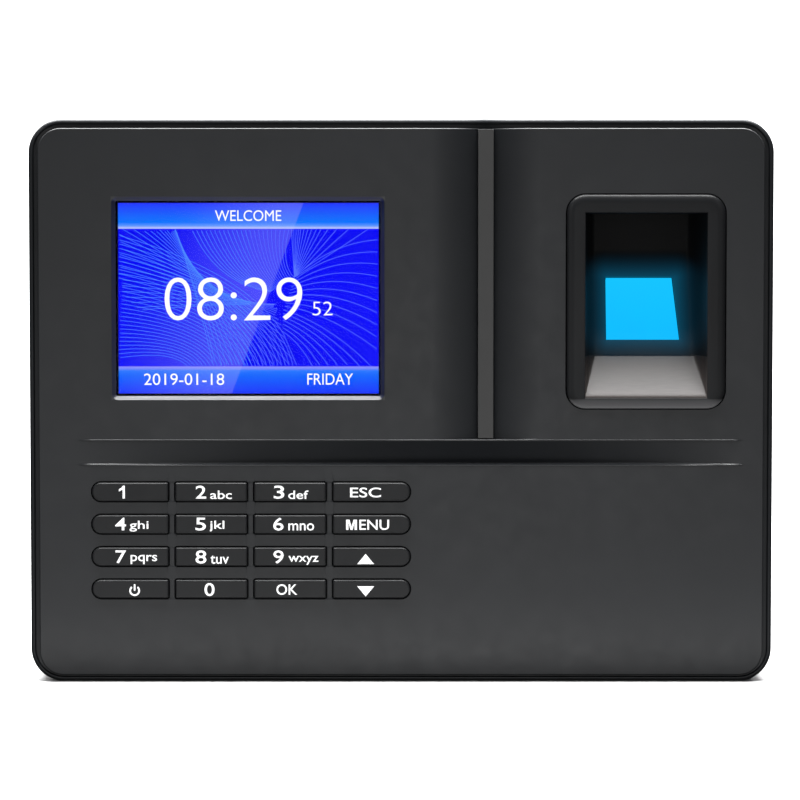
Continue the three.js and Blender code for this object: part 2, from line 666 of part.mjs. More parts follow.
// The space the finger goes into. Its sides draw in and round into the floor as it gets deeper.
function pocketSpace() {
  const half = POCKET_WIDTH / 2;
  const drawIn = half - POCKET_FLOOR_WIDTH / 2;
  const drawnInAt = 8; // depth by which the sides are drawn in fully
  const least = 0.15; // keeps the points of a shallow section apart
  // shares of the drawing-in and of the depth, from the mouth to the floor
  const sideSteps = [
    [0, 0.1],
    [0.25, 0.6],
    [0.45, 0.85],
    [0.7, 0.96],
    [1, 1],
  ];
  const rings = FLOOR_STATIONS.map((height) => {
    const depth = Math.max(least, floorDepth(height) + HOOD_PROUD);
    const fullness = Math.min(1, depth / drawnInAt);
    const wall = sideSteps.map(([inward, share]) => [half - inward * drawIn * fullness, depth * share]);
    const side = [[half, -PAST], ...wall];
    const outlineXY = side.concat(side.map(([x, y]) => [-x, y]).reverse());
    return outlineXY.map(([x, y]) => [HOOD_X + x, behind(y - HOOD_PROUD), POCKET_Z + height]);
  });
  return loft(rings, [0, 1]);
}

// The hood's body behind the flange: the pocket's side view, grown by its wall.
function hoodBody() {
  const back = FLOOR_STATIONS.slice(1).map((height) => [
    behind(floorDepth(height) + POCKET_FLOOR_BACK),
    POCKET_Z + height,
  ]);
  const profile = [
    [behind(0), HOOD_BODY_BOTTOM],
    [behind(POCKET_FLOOR_BACK), HOOD_BODY_BOTTOM],
    ...back,
    [behind(POCKET_BACK + POCKET_FLOOR_BACK), HOOD_BODY_TOP],
    [behind(0), HOOD_BODY_TOP],
  ];
  return sideProfile(profile, HOOD_X - HOOD_BODY_HALF, HOOD_X + HOOD_BODY_HALF);
}

// The reader's own frame: its origin on the pocket's floor at the middle of the glass,
// +Y square to the floor and into the terminal, +Z up along the floor.
const readerFrame = new THREE.Group();
readerFrame.position.set(HOOD_X, behind(floorDepth(WINDOW_RAISE)), POCKET_Z + WINDOW_RAISE);
readerFrame.rotation.x = -TILT;
readerFrame.updateMatrix();
terminal.add(readerFrame);

const FLOOR_THICKNESS = POCKET_FLOOR_BACK * Math.cos(TILT);
const READER_FRONT = FLOOR_THICKNESS + FIT;
const READER_BACK = READER_FRONT + READER_THICKNESS;
const READER_BOARD_FRONT = READER_BACK + FIT;
const READER_BOARD_BACK = READER_BOARD_FRONT + READER_BOARD_THICKNESS;
const READER_SCREW_X = READER_WIDTH / 2 + FIT + READER_POST_RADIUS;
const READER_BOARD_HALF = READER_SCREW_X + BOARD_SCREW.head + FIT;
const READER_SCREWS = [-READER_SCREW_X, READER_SCREW_X];

// The reader's glass in the reader's frame: narrower at its head, grown by a margin.
function windowSolid(margin, y0, y1) {
  const shape = new THREE.Shape([
    new THREE.Vector2(-WINDOW_FOOT / 2 - margin, -WINDOW_HEIGHT / 2 - margin),
    new THREE.Vector2(WINDOW_FOOT / 2 + margin, -WINDOW_HEIGHT / 2 - margin),
    new THREE.Vector2(WINDOW_HEAD / 2 + margin, WINDOW_HEIGHT / 2 + margin),
    new THREE.Vector2(-WINDOW_HEAD / 2 - margin, WINDOW_HEIGHT / 2 + margin),
  ]);
  return slab(shape, y0, y1);
}

function fingerHood() {
  const rim = (inset) =>
    centredPoints(HOOD_X, HOOD_Z, HOOD_WIDTH - 2 * inset, HOOD_HEIGHT - 2 * inset, HOOD_RADIUS - inset, 6);
  const flange = layers([
    [rim(0), HOOD_SEAT - FIT],
    ...quarterRound(HOOD_EDGE, 2).map(([inset, depth]) => [rim(inset), depth - HOOD_PROUD]),
  ]);
  const placed = (geometry) => geometry.applyMatrix4(readerFrame.matrix);
  const pilotRadius = BOARD_SCREW.shank + SCREW_GAP;
  const posts = READER_SCREWS.map((x) =>
    placed(rod(x, 0, FLOOR_THICKNESS - BITE, READER_BACK, READER_POST_RADIUS, 10)),
  );
  const pilots = READER_SCREWS.map((x) =>
    placed(rod(x, 0, FLOOR_THICKNESS, READER_BACK + PAST, pilotRadius, 10)),
  );
  const opening = placed(windowSolid(WINDOW_GAP, -3 * PAST, FLOOR_THICKNESS + PAST));
  return geometryOf(cut(join(flange, hoodBody(), ...posts), pocketSpace(), opening, ...pilots));
}

function readerBoard() {
  const [half, halfLength] = [READER_BOARD_HALF, READER_BOARD_LENGTH / 2];
  const plate = box(-half, half, READER_BOARD_FRONT, READER_BOARD_BACK, -halfLength, halfLength);
  const through = [READER_BACK, READER_BOARD_BACK + PAST];
  const holes = READER_SCREWS.map((x) => rod(x, 0, ...through, BOARD_HOLE_RADIUS, 10));
  return geometryOf(cut(solid(plate), ...holes));
}

// ---------------------------------------------------------------- front cover

function frontCover() {
  const field = (inset) => outlinePoints(RIM_SIDE + inset, RIM_TOP + inset, RIM_BOTTOM + inset);
  const lip = outline(LIP_INSET);
  lip.holes.push(outline(WALL));
  const seamY = behind(SEAM_DEPTH);

  let body = solid(
    layers([
      [outlinePoints(0), SEAM_DEPTH],
      ...quarterRound(EDGE_ROUND, 3).map(([inset, depth]) => [outlinePoints(inset), RIM_DROP + depth]),
      [outlinePoints(RIM_BEAD), RIM_DROP],
      [outlinePoints(RIM_BEAD + GROOVE_SLOPE), RIM_DROP + GROOVE_DEPTH],
      [field(-GROOVE_SLOPE), RIM_DROP + GROOVE_DEPTH],
      [field(0), FIELD_CHAMFER],
      [field(FIELD_CHAMFER), 0],
    ]),
  );
  body = cut(body, slab(outline(WALL), behind(WALL), seamY + PAST), ledgeCutter(), coveCutter(-1), coveCutter(1));
  const root = behind(WALL - BITE);
  const added = [
    slab(lip, seamY - PAST, seamY + LIP_LENGTH),
    ...CASE_SCREWS.map(({ x, z }) => rod(x, z, root, BOSS_END, BOSS_RADIUS, 14)),
    ...BOARD_SCREWS.map(({ x, z }) => rod(x, z, root, behind(BOARD_FRONT) - FIT, BOARD_POST_RADIUS, 12)),
  ];
  return geometryOf(cut(body.add(join(...added)), ...frontCoverOpenings()));
}

function frontCoverOpenings() {
  const inside = behind(WALL + PAST);
  const outside = behind(-PAST);
  const bezelDepth = LENS_FRONT - BEZEL_LAND;
  const steeper = (PAST * BEZEL_SLOPE) / bezelDepth;
  const sloped = (grow) =>
    centredPoints(VIEW_X, VIEW_Z, OPENING_WIDTH + 2 * grow, OPENING_HEIGHT + 2 * grow, OPENING_CORNER, 1);
  const lensRoom = centredPanel(
    VIEW_X,
    VIEW_Z,
    OPENING_WIDTH + 2 * (LENS_OVERLAP + FIT),
    OPENING_HEIGHT + 2 * (LENS_OVERLAP + FIT),
    LENS_CORNER,
  );
  const [seatWidth, seatHeight] = [HOOD_WIDTH + 2 * SLIDE, HOOD_HEIGHT + 2 * SLIDE];
  const hoodSeat = centredPanel(HOOD_X, HOOD_Z, seatWidth, seatHeight, HOOD_RADIUS + SLIDE);
  const openings = [
    layers([
      [sloped(BEZEL_SLOPE + steeper), -PAST],
      [sloped(0), bezelDepth],
      [sloped(0), LENS_FRONT],
    ]),
    slab(lensRoom, behind(LENS_FRONT - SLIDE), inside),
    slab(stripShape(SLIDE), outside, behind(STRIP_THICKNESS + SLIDE)),
    slab(hoodSeat, outside, behind(HOOD_SEAT)),
    box(
      HOOD_X - HOOD_BODY_HALF - FIT,
      HOOD_X + HOOD_BODY_HALF + FIT,
      behind(0),
      inside,
      HOOD_BODY_BOTTOM - FIT,
      HOOD_BODY_TOP + FIT,
    ),
  ];
  forEachKey((name, row, column) => {
    openings.push(slab(new THREE.Shape(keyPoints(row, column, 0)), outside, inside));
  });
  for (const { x, z } of CASE_SCREWS) {
    openings.push(rod(x, z, BOSS_END - CASE_PILOT_DEPTH, BOSS_END + PAST, CASE_SCREW.shank + SCREW_GAP, 10));
  }
  for (const { x, z } of BOARD_SCREWS) {
    openings.push(rod(x, z, behind(WALL + BITE), behind(BOARD_FRONT), BOARD_SCREW.shank + SCREW_GAP, 10));
  }
  return openings;
}

// ---------------------------------------------------------------- rear cover

function rearCover() {
  const front = behind(SEAM_DEPTH) + SEAM;
  let body = solid(
    layers([
      [outlinePoints(0), SEAM_DEPTH + SEAM],
      ...quarterRound(BACK_ROUND, 3).map(([inset, depth]) => [outlinePoints(inset), BODY_DEPTH - depth]),
    ]),
  );
  body = cut(
    body,
    slab(outline(WALL), front - PAST, INNER_Y),
    slab(outline(LIP_INSET - SLIDE), front - PAST, behind(SEAM_DEPTH) + LIP_LENGTH + SLIDE),
  );
  const blockHalf = TAB_WIDTH / 2 + TAB_GAP + TAB_BLOCK_WALL;
  const added = [
    ...CASE_SCREWS.map(({ x, z }) => rod(x, z, BOSS_END + FIT, INNER_Y + BITE, POST_RADIUS, 14)),
    ...displayRibs(),
    ...speakerClips(),
    // the block over the wall plate's lower tab
    box(
      -blockHalf,
      blockHalf,
      TAB_FRONT - TAB_GAP - TAB_BLOCK_WALL,
      INNER_Y + BITE,
      WALL - BITE,
      NOTCH_TOP + TAB_BLOCK_RISE,
    ),
  ];
  return geometryOf(cut(body.add(join(...added)), ...rearCoverOpenings()));
}

// Two ribs that press on the back of the display's frame, below and above the wall plate's hooks.
function displayRibs() {
  const [x0, x1] = [VIEW_X - 0.15 * VIEW_WIDTH, VIEW_X + 0.35 * VIEW_WIDTH];
  return [RIBBON_TOP + 4, VIEW_Z + VIEW_HEIGHT / 2 - 6].map((z) =>
    box(x0, x1, behind(FRAME_BACK) + FIT, INNER_Y + BITE, z - RIB_THICKNESS / 2, z + RIB_THICKNESS / 2),
  );
}

// Three short clips on the rear cover that hold the speaker's rim.
function speakerClips() {
  return [90, 210, 330].map((angle) => {
    const turn = THREE.MathUtils.degToRad(angle);
    const distance = SPEAKER_RADIUS + FIT + SPEAKER_CLIP_RADIUS;
    return rod(
      SPEAKER_X + distance * Math.cos(turn),
      SPEAKER_Z + distance * Math.sin(turn),
      INNER_Y - 0.8 * SPEAKER_DEPTH,
      INNER_Y + BITE,
      SPEAKER_CLIP_RADIUS,
      8,
    );
  });
}

function rearCoverOpenings() {
  const openings = [];
  const through = BACK_Y + PAST;
  for (const { x, z } of CASE_SCREWS) {
    openings.push(rod(x, z, COUNTERBORE_Y, through, COUNTERBORE_RADIUS, 16));
    openings.push(rod(x, z, BOSS_END - PAST, through, CASE_SCREW.shank + FIT, 10));
  }
  // recess, hook slots and lower notch of the wall plate
  const halfRecess = PLATE_WIDTH / 2 + FIT;
  const belowBase = -2 * PLATE_RADIUS;
  const recess = panelShape(-halfRecess, halfRecess, belowBase, PLATE_TOP + FIT, PLATE_RADIUS);
  openings.push(slab(recess, RECESS_Y, through));
  for (const x of HOOKS) {
    const half = HOOK_WIDTH / 2 + HOOK_GAP;
    const top = HOOK_Z + HOOK_ROOT + FIT;
    openings.push(box(x - half, x + half, INNER_Y - PAST, through, top - HOOK_RISE - HOOK_GAP, top));
  }
  const notchHalf = TAB_WIDTH / 2 + TAB_GAP;
  const pilotTop = PLATE_BOTTOM + PLATE_SCREW.length + BITE;
  openings.push(
    box(-notchHalf, notchHalf, TAB_FRONT - TAB_GAP, through, -PAST, NOTCH_TOP),
    upright(PLATE_SCREW.shank + SCREW_GAP, 0, TAB_SCREW_Y, PLATE_BOTTOM, pilotTop, 12),
    portOpening(USB_THICKNESS, USB_WIDTH, USB_Z),
    portOpening(JACK_WIDTH, JACK_WIDTH, JACK_Z),
    ...grilleSlots(),
  );
  const [labelWidth, labelHeight] = [LABEL_WIDTH + 2 * LABEL_MARGIN, LABEL_HEIGHT + 2 * LABEL_MARGIN];
  const labelPanel = centredPanel(LABEL_X, LABEL_Z, labelWidth, labelHeight, LABEL_CORNER);
  openings.push(slab(labelPanel, LABEL_Y - SLIDE, through));
  return openings;
}

// A socket's opening in the right-hand wall.
function portOpening(thickness, width, z) {
  const [y0, half] = [PORT_Y - FIT, width / 2 + FIT];
  return box(RIGHT - WALL - PAST, RIGHT + PAST, y0, y0 + thickness + 2 * FIT, z - half, z + half);
}

// Slots behind the speaker's cone, inside a circle.
function grilleSlots() {
  const reach = SPEAKER_RADIUS - GRILLE_INSET;
  return Array.from({ length: GRILLE_ROWS }, (_, row) => {
    const offset = (row - (GRILLE_ROWS - 1) / 2) * GRILLE_PITCH;
    const width = 2 * Math.sqrt(reach ** 2 - offset ** 2);
    const slot = centredPanel(SPEAKER_X, SPEAKER_Z + offset, width, GRILLE_SLOT, 0.45 * GRILLE_SLOT);
    return slab(slot, INNER_Y - PAST, BACK_Y + PAST);
  });
}

// ---------------------------------------------------------------- display

// A block behind the picture that reaches past it on all four sides.
function behindView(past, y0, y1) {
  const [halfWidth, halfHeight] = [VIEW_WIDTH / 2 + past, VIEW_HEIGHT / 2 + past];
  return box(VIEW_X - halfWidth, VIEW_X + halfWidth, y0, y1, VIEW_Z - halfHeight, VIEW_Z + halfHeight);
}

function displayFrame() {
  const tray = behindView(PANEL_OVERLAP + DISPLAY_FRAME_EDGE, behind(PANEL_FRONT), behind(FRAME_BACK));
  const seat = behindView(PANEL_OVERLAP + FIT, behind(PANEL_FRONT - PAST), behind(PANEL_BACK + FIT));
  return geometryOf(cut(solid(tray), seat));
}

// The display's flat cable: down the back of its frame and over the board's edge to its socket.
function displayRibbon() {
  const start = FRAME_BACK + FIT;
  const end = PART_FRONT + DISPLAY_SOCKET[2] / 2;
  const path = [
    [start, RIBBON_TOP],
    [start, BOARD_TOP + 8],
    [start + 0.25 * (end - start), BOARD_TOP + 5],
    [end - 0.1, BOARD_TOP + 2],
    [end, BOARD_TOP - SOCKET_INSET + FIT],
  ];
  const front = path.map(([depth, z]) => [behind(depth), z]);
  const back = path.map(([depth, z]) => [behind(depth + RIBBON_THICKNESS), z]).reverse();
  return sideProfile([...front, ...back], VIEW_X - RIBBON_WIDTH / 2, VIEW_X + RIBBON_WIDTH / 2);
}

// ---------------------------------------------------------------- parts on the board

function mainBoard() {
  const plate = slab(
    panelShape(BOARD_LEFT, BOARD_RIGHT, BOARD_BOTTOM, BOARD_TOP, BOARD_CORNER),
    behind(BOARD_FRONT),
    behind(BOARD_BACK),
  );
  const through = [behind(BOARD_FRONT - PAST), behind(BOARD_BACK + PAST)];
  const holes = BOARD_SCREWS.map(({ x, z }) => rod(x, z, ...through, BOARD_HOLE_RADIUS, 10));
  return geometryOf(cut(solid(plate), ...holes));
}

// A block on the back of the board, centred on an X and a Z.
function onBoard(x, z, [width, height, thickness]) {
  return box(x - width / 2, x + width / 2, PORT_Y, PORT_Y + thickness, z - height / 2, z + height / 2);
}

// A socket under the board's upper edge.
function edgeSocket(x, [width, height, thickness]) {
  return onBoard(x, BOARD_TOP - SOCKET_INSET - height / 2, [width, height, thickness]);
}

function usbShell() {
  const half = USB_WIDTH / 2;
  const outer = box(...PORT_X, PORT_Y, PORT_Y + USB_THICKNESS, USB_Z - half, USB_Z + half);
  const mouth = box(
    PORT_X[0] + USB_FLOOR,
    PORT_X[1] + PAST,
    PORT_Y + USB_SHEET,
    PORT_Y + USB_THICKNESS - USB_SHEET,
    USB_Z - half + USB_SHEET,
    USB_Z + half - USB_SHEET,
  );
  return geometryOf(cut(solid(outer), mouth));
}

function usbTongue() {
  const { width, thickness, front } = USB_TONGUE;
  const [x0, x1] = [PORT_X[0] + USB_FLOOR + FIT, PORT_X[1] - PIN_SETBACK];
  const y0 = PORT_Y + front;
  return box(x0, x1, y0, y0 + thickness, USB_Z - width / 2, USB_Z + width / 2);
}

function powerJack() {
  const half = JACK_WIDTH / 2;
  const outer = box(...PORT_X, PORT_Y, PORT_Y + JACK_WIDTH, JACK_Z - half, JACK_Z + half);
  return geometryOf(
    cut(solid(outer), alongX(JACK_BORE, PORT_X[0] + JACK_FLOOR, PORT_X[1] + PAST, JACK_Y, JACK_Z, 20)),
  );
}

// An open-faced holder with a rim that keeps the cell in place.
function cellHolder() {
  const { height, floor, rim } = CELL_HOLDER;
  const body = rod(CELL_X, CELL_Z, PORT_Y, PORT_Y + height, CELL_RADIUS + rim, 20);
  const seat = rod(CELL_X, CELL_Z, PORT_Y + floor, PORT_Y + height + PAST, CELL_RADIUS + FIT, 20);
  return geometryOf(cut(solid(body), seat));
}

// ---------------------------------------------------------------- speaker

function speakerFrame() {
  const depth = SPEAKER_DEPTH;
  const profile = [
    [0, 0],
    [6, 0],
    [6, 2],
    [SPEAKER_RADIUS - 2, 3],
    [SPEAKER_RADIUS, 3.4],
    [SPEAKER_RADIUS, depth],
    [SPEAKER_RADIUS - 1.6, depth],
    [SPEAKER_RADIUS - 1.8, depth - 1],
    [4, 1.8],
    [0, 1.8],
  ];
  return turned(profile, 20).translate(SPEAKER_X, SPEAKER_FRONT, SPEAKER_Z);
}

function speakerCone() {
  const reach = SPEAKER_RADIUS - 2.3;
  const profile = [
    [0, 2.1],
    [4, 2.1],
    [reach, SPEAKER_DEPTH - 0.9],
    [reach, SPEAKER_DEPTH - 0.5],
    [4, 2.6],
    [3, 3.6],
    [0, 4],
  ];
  return turned(profile, 20).translate(SPEAKER_X, SPEAKER_FRONT, SPEAKER_Z);
}

// ---------------------------------------------------------------- fasteners

// A pan-head screw along Y, its head's underside at y = 0 and its head towards +Y.
function screw({ shank, head, rise, length }) {
  const profile = [
    [0, -length],
    [shank, -length + 1.2],
    [shank, 0],
    [head, 0],
    [head, 0.5 * rise],
    [0.7 * head, rise],
    [0, rise],
  ];
  const [half, reach] = [0.16 * head, 0.58 * head];
  const [floor, top] = [0.4 * rise, rise + PAST];
  return geometryOf(
    cut(
      solid(turned(profile, 10)),
      box(-half, half, floor, top, -reach, reach),
      box(-reach, reach, floor, top, -half, half),
    ),
  );
}

// ---------------------------------------------------------------- wall plate

function wallPlate() {
  const half = PLATE_WIDTH / 2;
  const root = PLATE_FRONT + BITE;
  const sheet = slab(panelShape(-half, half, PLATE_BOTTOM, PLATE_TOP, PLATE_RADIUS), PLATE_FRONT, PLATE_BACK);
  const tab = box(-TAB_WIDTH / 2, TAB_WIDTH / 2, TAB_FRONT, root, PLATE_BOTTOM, PLATE_BOTTOM + PLATE_THICKNESS);
  const hooks = HOOKS.flatMap((x) => {
    const [x0, x1] = [x - HOOK_WIDTH / 2, x + HOOK_WIDTH / 2];
    return [
      box(x0, x1, HOOK_TIP, root, HOOK_Z, HOOK_Z + HOOK_ROOT),
      box(x0, x1, HOOK_TIP, HOOK_TIP + PLATE_THICKNESS, HOOK_Z, HOOK_Z + HOOK_RISE),
    ];
  });
  const holes = [-1, 1].flatMap((side) =>
    [PLATE_BOTTOM + PLATE_HOLE_INSET, PLATE_TOP - PLATE_HOLE_INSET].map((z) =>
      rod(side * (half - PLATE_HOLE_INSET), z, PLATE_FRONT - PAST, PLATE_BACK + PAST, PLATE_HOLE_RADIUS, 16),
    ),
  );
  const tabHole = upright(PLATE_SCREW.shank + FIT, 0, TAB_SCREW_Y, PLATE_BOTTOM - PAST, NOTCH_TOP + PAST, 12);
  return geometryOf(cut(join(sheet, tab, ...hooks), ...holes, tabHole));
}

// ---------------------------------------------------------------- assembly

addMesh("front_cover", frontCover(), materials.frontCover);
addMesh("rear_cover", rearCover(), materials.rearCover);
addMesh("finger_hood", fingerHood(), materials.hood);
addMesh("accent_strip", slab(stripShape(0), behind(0), behind(STRIP_THICKNESS)), materials.strip);

addMesh(
  "display_lens",
  slab(
    centredPanel(
      VIEW_X,
      VIEW_Z,
      OPENING_WIDTH + 2 * LENS_OVERLAP,
      OPENING_HEIGHT + 2 * LENS_OVERLAP,
      LENS_CORNER,
    ),
    behind(LENS_FRONT),
    behind(WALL),
  ),
  materials.lens,
);
addMesh("display_panel", behindView(PANEL_OVERLAP, behind(PANEL_FRONT), behind(PANEL_BACK)), materials.picture);
addMesh("display_frame", displayFrame(), materials.steel);
addMesh("display_ribbon", displayRibbon(), materials.ribbon);

addMesh("reader_window", windowSolid(0, WINDOW_SINK, FLOOR_THICKNESS), materials.readerGlass, readerFrame);
addMesh(
  "reader_housing",
  box(
    -READER_WIDTH / 2,
    READER_WIDTH / 2,
    READER_FRONT,
    READER_BACK,
    -READER_LENGTH / 2,
    READER_LENGTH / 2,
  ),
  materials.blackPlastic,
  readerFrame,
);
addMesh("reader_board", readerBoard(), materials.board, readerFrame);
READER_SCREWS.forEach((x, i) => {
  const mesh = addMesh(`reader_screw_${i + 1}`, screw(BOARD_SCREW), materials.zinc, readerFrame);
  mesh.position.set(x, READER_BOARD_BACK + HEAD_GAP, 0);
});

forEachKey((name, row, column) => addMesh(name, key(row, column), materials.key));
addMesh("keypad_mat", keypadMat(), materials.silicone);

addMesh("main_board", mainBoard(), materials.board);
addMesh("usb_shell", usbShell(), materials.steel);
addMesh("usb_tongue", usbTongue(), materials.whitePlastic);
addMesh("power_jack", powerJack(), materials.blackPlastic);
const pinX = [PORT_X[0] + JACK_FLOOR + FIT, PORT_X[1] - PIN_SETBACK];
addMesh("power_jack_pin", alongX(JACK_PIN, ...pinX, JACK_Y, JACK_Z, 12), materials.brass);
addMesh("processor_chip", onBoard(HOOD_X - 30, CELL_Z, PROCESSOR), materials.chip);
addMesh("memory_chip", onBoard(HOOD_X - 12, CELL_Z, MEMORY), materials.chip);
addMesh("display_socket", edgeSocket(VIEW_X, DISPLAY_SOCKET), materials.whitePlastic);
addMesh("reader_socket", edgeSocket(READER_SOCKET_X, READER_SOCKET), materials.whitePlastic);
addMesh("speaker_socket", edgeSocket(SPEAKER_SOCKET_X, SPEAKER_SOCKET), materials.whitePlastic);
addMesh("cell_holder", cellHolder(), materials.blackPlastic);
const cellY = PORT_Y + CELL_HOLDER.floor + FIT;
addMesh("coin_cell", rod(CELL_X, CELL_Z, cellY, cellY + CELL_THICKNESS, CELL_RADIUS, 20), materials.steel);
BOARD_SCREWS.forEach(({ x, z }, i) => {
  const mesh = addMesh(`board_screw_${i + 1}`, screw(BOARD_SCREW), materials.zinc);
  mesh.position.set(x, behind(BOARD_BACK) + HEAD_GAP, z);
});

addMesh("speaker_frame", speakerFrame(), materials.steel);
addMesh("speaker_cone", speakerCone(), materials.blackPlastic);

// The two leads go from the back of their part down to a socket at the board's upper edge.
const leadEnd = (x, radius) => [x, PORT_Y + 2, BOARD_TOP - SOCKET_INSET + FIT + 0.4 * radius];
const readerLeadStart = new THREE.Vector3(0, READER_BOARD_BACK + READER_LEAD_RADIUS, -6.5);
readerLeadStart.applyMatrix4(readerFrame.matrix);
const [readerY, readerZ] = [readerLeadStart.y, readerLeadStart.z];
addMesh(
  "reader_lead",
  lead(
    [
      readerLeadStart.toArray(),
      [HOOD_X, readerY + 2.5, readerZ - 5],
      [HOOD_X - 1, readerY + 0.5, BOARD_TOP + 14],
      [READER_SOCKET_X, PORT_Y + 2.5, BOARD_TOP + 4],
      leadEnd(READER_SOCKET_X, READER_LEAD_RADIUS),
    ],
    READER_LEAD_RADIUS,
    14,
  ),
  materials.lead,
);
addMesh(
  "speaker_lead",
  lead(
    [
      [SPEAKER_X + 3, SPEAKER_FRONT + 3.8, SPEAKER_Z - SPEAKER_RADIUS - 0.1],
      [SPEAKER_X + 3.5, SPEAKER_FRONT + 3, SPEAKER_Z - SPEAKER_RADIUS - 8],
      [SPEAKER_X + 5, SPEAKER_FRONT - 3, BOARD_TOP + 13],
      [SPEAKER_SOCKET_X, PORT_Y + 2.5, BOARD_TOP + 4],
      leadEnd(SPEAKER_SOCKET_X, SPEAKER_LEAD_RADIUS),
    ],
    SPEAKER_LEAD_RADIUS,
    14,
  ),
  materials.lead,
);

CASE_SCREWS.forEach(({ x, z }, i) => {
  const mesh = addMesh(`case_screw_${i + 1}`, screw(CASE_SCREW), materials.zinc);
  mesh.position.set(x, COUNTERBORE_Y + HEAD_GAP, z);
});

addMesh("wall_plate", wallPlate(), materials.steel);
const plateScrew = addMesh("wall_plate_screw", screw(PLATE_SCREW), materials.zinc);
plateScrew.rotation.x = -Math.PI / 2; // head down
plateScrew.position.set(0, TAB_SCREW_Y, PLATE_BOTTOM - HEAD_GAP);

addMesh(
  "rating_label",
  slab(
    centredPanel(LABEL_X, LABEL_Z, LABEL_WIDTH, LABEL_HEIGHT, LABEL_CORNER),
    LABEL_Y,
    LABEL_Y + LABEL_THICKNESS,
  ),
  materials.label,
);

export default terminal;
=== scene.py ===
"""Looks of a fingerprint attendance terminal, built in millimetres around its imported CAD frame."""

import math

import bmesh
import bpy
import numpy as np
from mathutils import Matrix, Vector
from mathutils.geometry import delaunay_2d_cdt


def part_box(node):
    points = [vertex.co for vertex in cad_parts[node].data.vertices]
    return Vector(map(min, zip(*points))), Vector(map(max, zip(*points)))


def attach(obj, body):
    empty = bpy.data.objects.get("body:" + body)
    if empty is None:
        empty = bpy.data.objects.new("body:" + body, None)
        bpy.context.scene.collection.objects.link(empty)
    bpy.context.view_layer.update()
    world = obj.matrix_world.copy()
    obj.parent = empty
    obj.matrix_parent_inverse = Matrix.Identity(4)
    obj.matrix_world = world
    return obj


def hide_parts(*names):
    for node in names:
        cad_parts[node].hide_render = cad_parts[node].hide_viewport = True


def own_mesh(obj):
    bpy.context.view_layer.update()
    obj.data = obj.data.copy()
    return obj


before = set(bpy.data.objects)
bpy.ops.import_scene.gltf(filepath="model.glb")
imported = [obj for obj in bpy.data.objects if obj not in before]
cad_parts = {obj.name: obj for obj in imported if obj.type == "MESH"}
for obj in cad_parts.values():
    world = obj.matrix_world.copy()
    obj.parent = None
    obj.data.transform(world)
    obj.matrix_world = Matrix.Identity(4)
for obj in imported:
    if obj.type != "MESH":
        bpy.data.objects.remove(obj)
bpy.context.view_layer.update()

MM = 0.001
BODY = "terminal"


def span(node):
    """A CAD node's lowest and highest corners, in millimetres."""
    low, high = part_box(node)
    return np.array(low) / MM, np.array(high) / MM


# ---------------------------------------------------------------- places, read from the frame

case_low, case_high = span("front_cover")
rear_low, rear_high = span("rear_cover")
hood_low, hood_high = span("finger_hood")
strip_low, strip_high = span("accent_strip")
lens_low, lens_high = span("display_lens")
panel_low, panel_high = span("display_panel")
plate_low, plate_high = span("wall_plate")

FIELD_Y = case_low[1]
BACK_Y = rear_high[1]
HEIGHT = case_high[2]
HALF_WIDTH = case_high[0]
CORNER = 8.2
WALL = 2.5
SEAM_DEPTH = 7.0

# rim of the front cover: a bead, a groove and the edge of the raised field
BEAD_ROUND = 0.9
BEAD_DROP = 1.3
GROOVE_DEPTH = 1.9
FIELD_SIDE = 2.45
FIELD_TOP = 2.3
FIELD_BOTTOM = 1.7
FIELD_ROUND = 0.3

# display
VIEW = np.array([64.8, 47.4])
LENS_OVERLAP = 1.8
BEZEL_WIDTH = 1.15
opening = [lens_low[0] + LENS_OVERLAP, lens_high[0] - LENS_OVERLAP]
opening += [lens_low[2] + LENS_OVERLAP, lens_high[2] - LENS_OVERLAP]
view_x = (panel_low[0] + panel_high[0]) / 2
view_z = (panel_low[2] + panel_high[2]) / 2

# keys
KEY_FLANGE = 0.45
KEY_GAP = 0.2
KEY_CORNER = 0.65
KEY_PROUD = 0.8
KEY_FRONT = FIELD_Y - KEY_PROUD
KEY_FLANGE_THICKNESS = 0.8
LEFT_KEYS = ("key_1", "key_4", "key_7", "key_power")
RIGHT_KEYS = ("key_esc", "key_menu", "key_up", "key_down")
KEYS = sorted(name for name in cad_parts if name.startswith("key_"))

# strip between two coves, over the ledge
STRIP_GAP = 0.2
STRIP_DEPTH = 2.0
strip_x = (strip_low[0] + strip_high[0]) / 2
strip_half = (strip_high[0] - strip_low[0]) / 2
COVE_WIDTH = 11.5
COVE_DEPTH = 1.4
LEDGE_TOP = strip_low[2] - STRIP_GAP
LEDGE_HEIGHT = 6.3
LEDGE_BOTTOM = LEDGE_TOP - LEDGE_HEIGHT
LEDGE_DEPTH = 1.5
LEDGE_ENDS = (-HALF_WIDTH + 12.1, HALF_WIDTH - 7.8)
LIP = 0.25

# finger pocket
HOOD_CORNER = 4.6
HOOD_BELOW = 2.6
HOOD_ABOVE = 4.5
HOOD_SIDE = 4.6
HOOD_SEAT = FIELD_Y + 0.9
POCKET_FLOOR_HALF = 11.5
RAMP_RISE = 10.2
RAMP_DEPTH = 6.3
STEP = 0.8
STEP_RISE = 0.3
READER_TILT = math.radians(21)
READER_RISE = 25.6
WINDOW_RAISE = 22.2
WINDOW_LENGTH = 16.5
WINDOW_HALVES = (9.1, 8.3)
WINDOW_SINK = 0.35
WINDOW_LEAN = 0.6  # how far the window's head stands to the left of its foot
WINDOW_GAP = 0.25
pocket_x = (hood_low[0] + hood_high[0]) / 2
pocket_z = hood_low[2] + HOOD_BELOW
pocket_height = hood_high[2] - HOOD_ABOVE - pocket_z
pocket_half = (hood_high[0] - hood_low[0]) / 2 - HOOD_SIDE
hood_front = hood_low[1]


# ---------------------------------------------------------------- loops of points


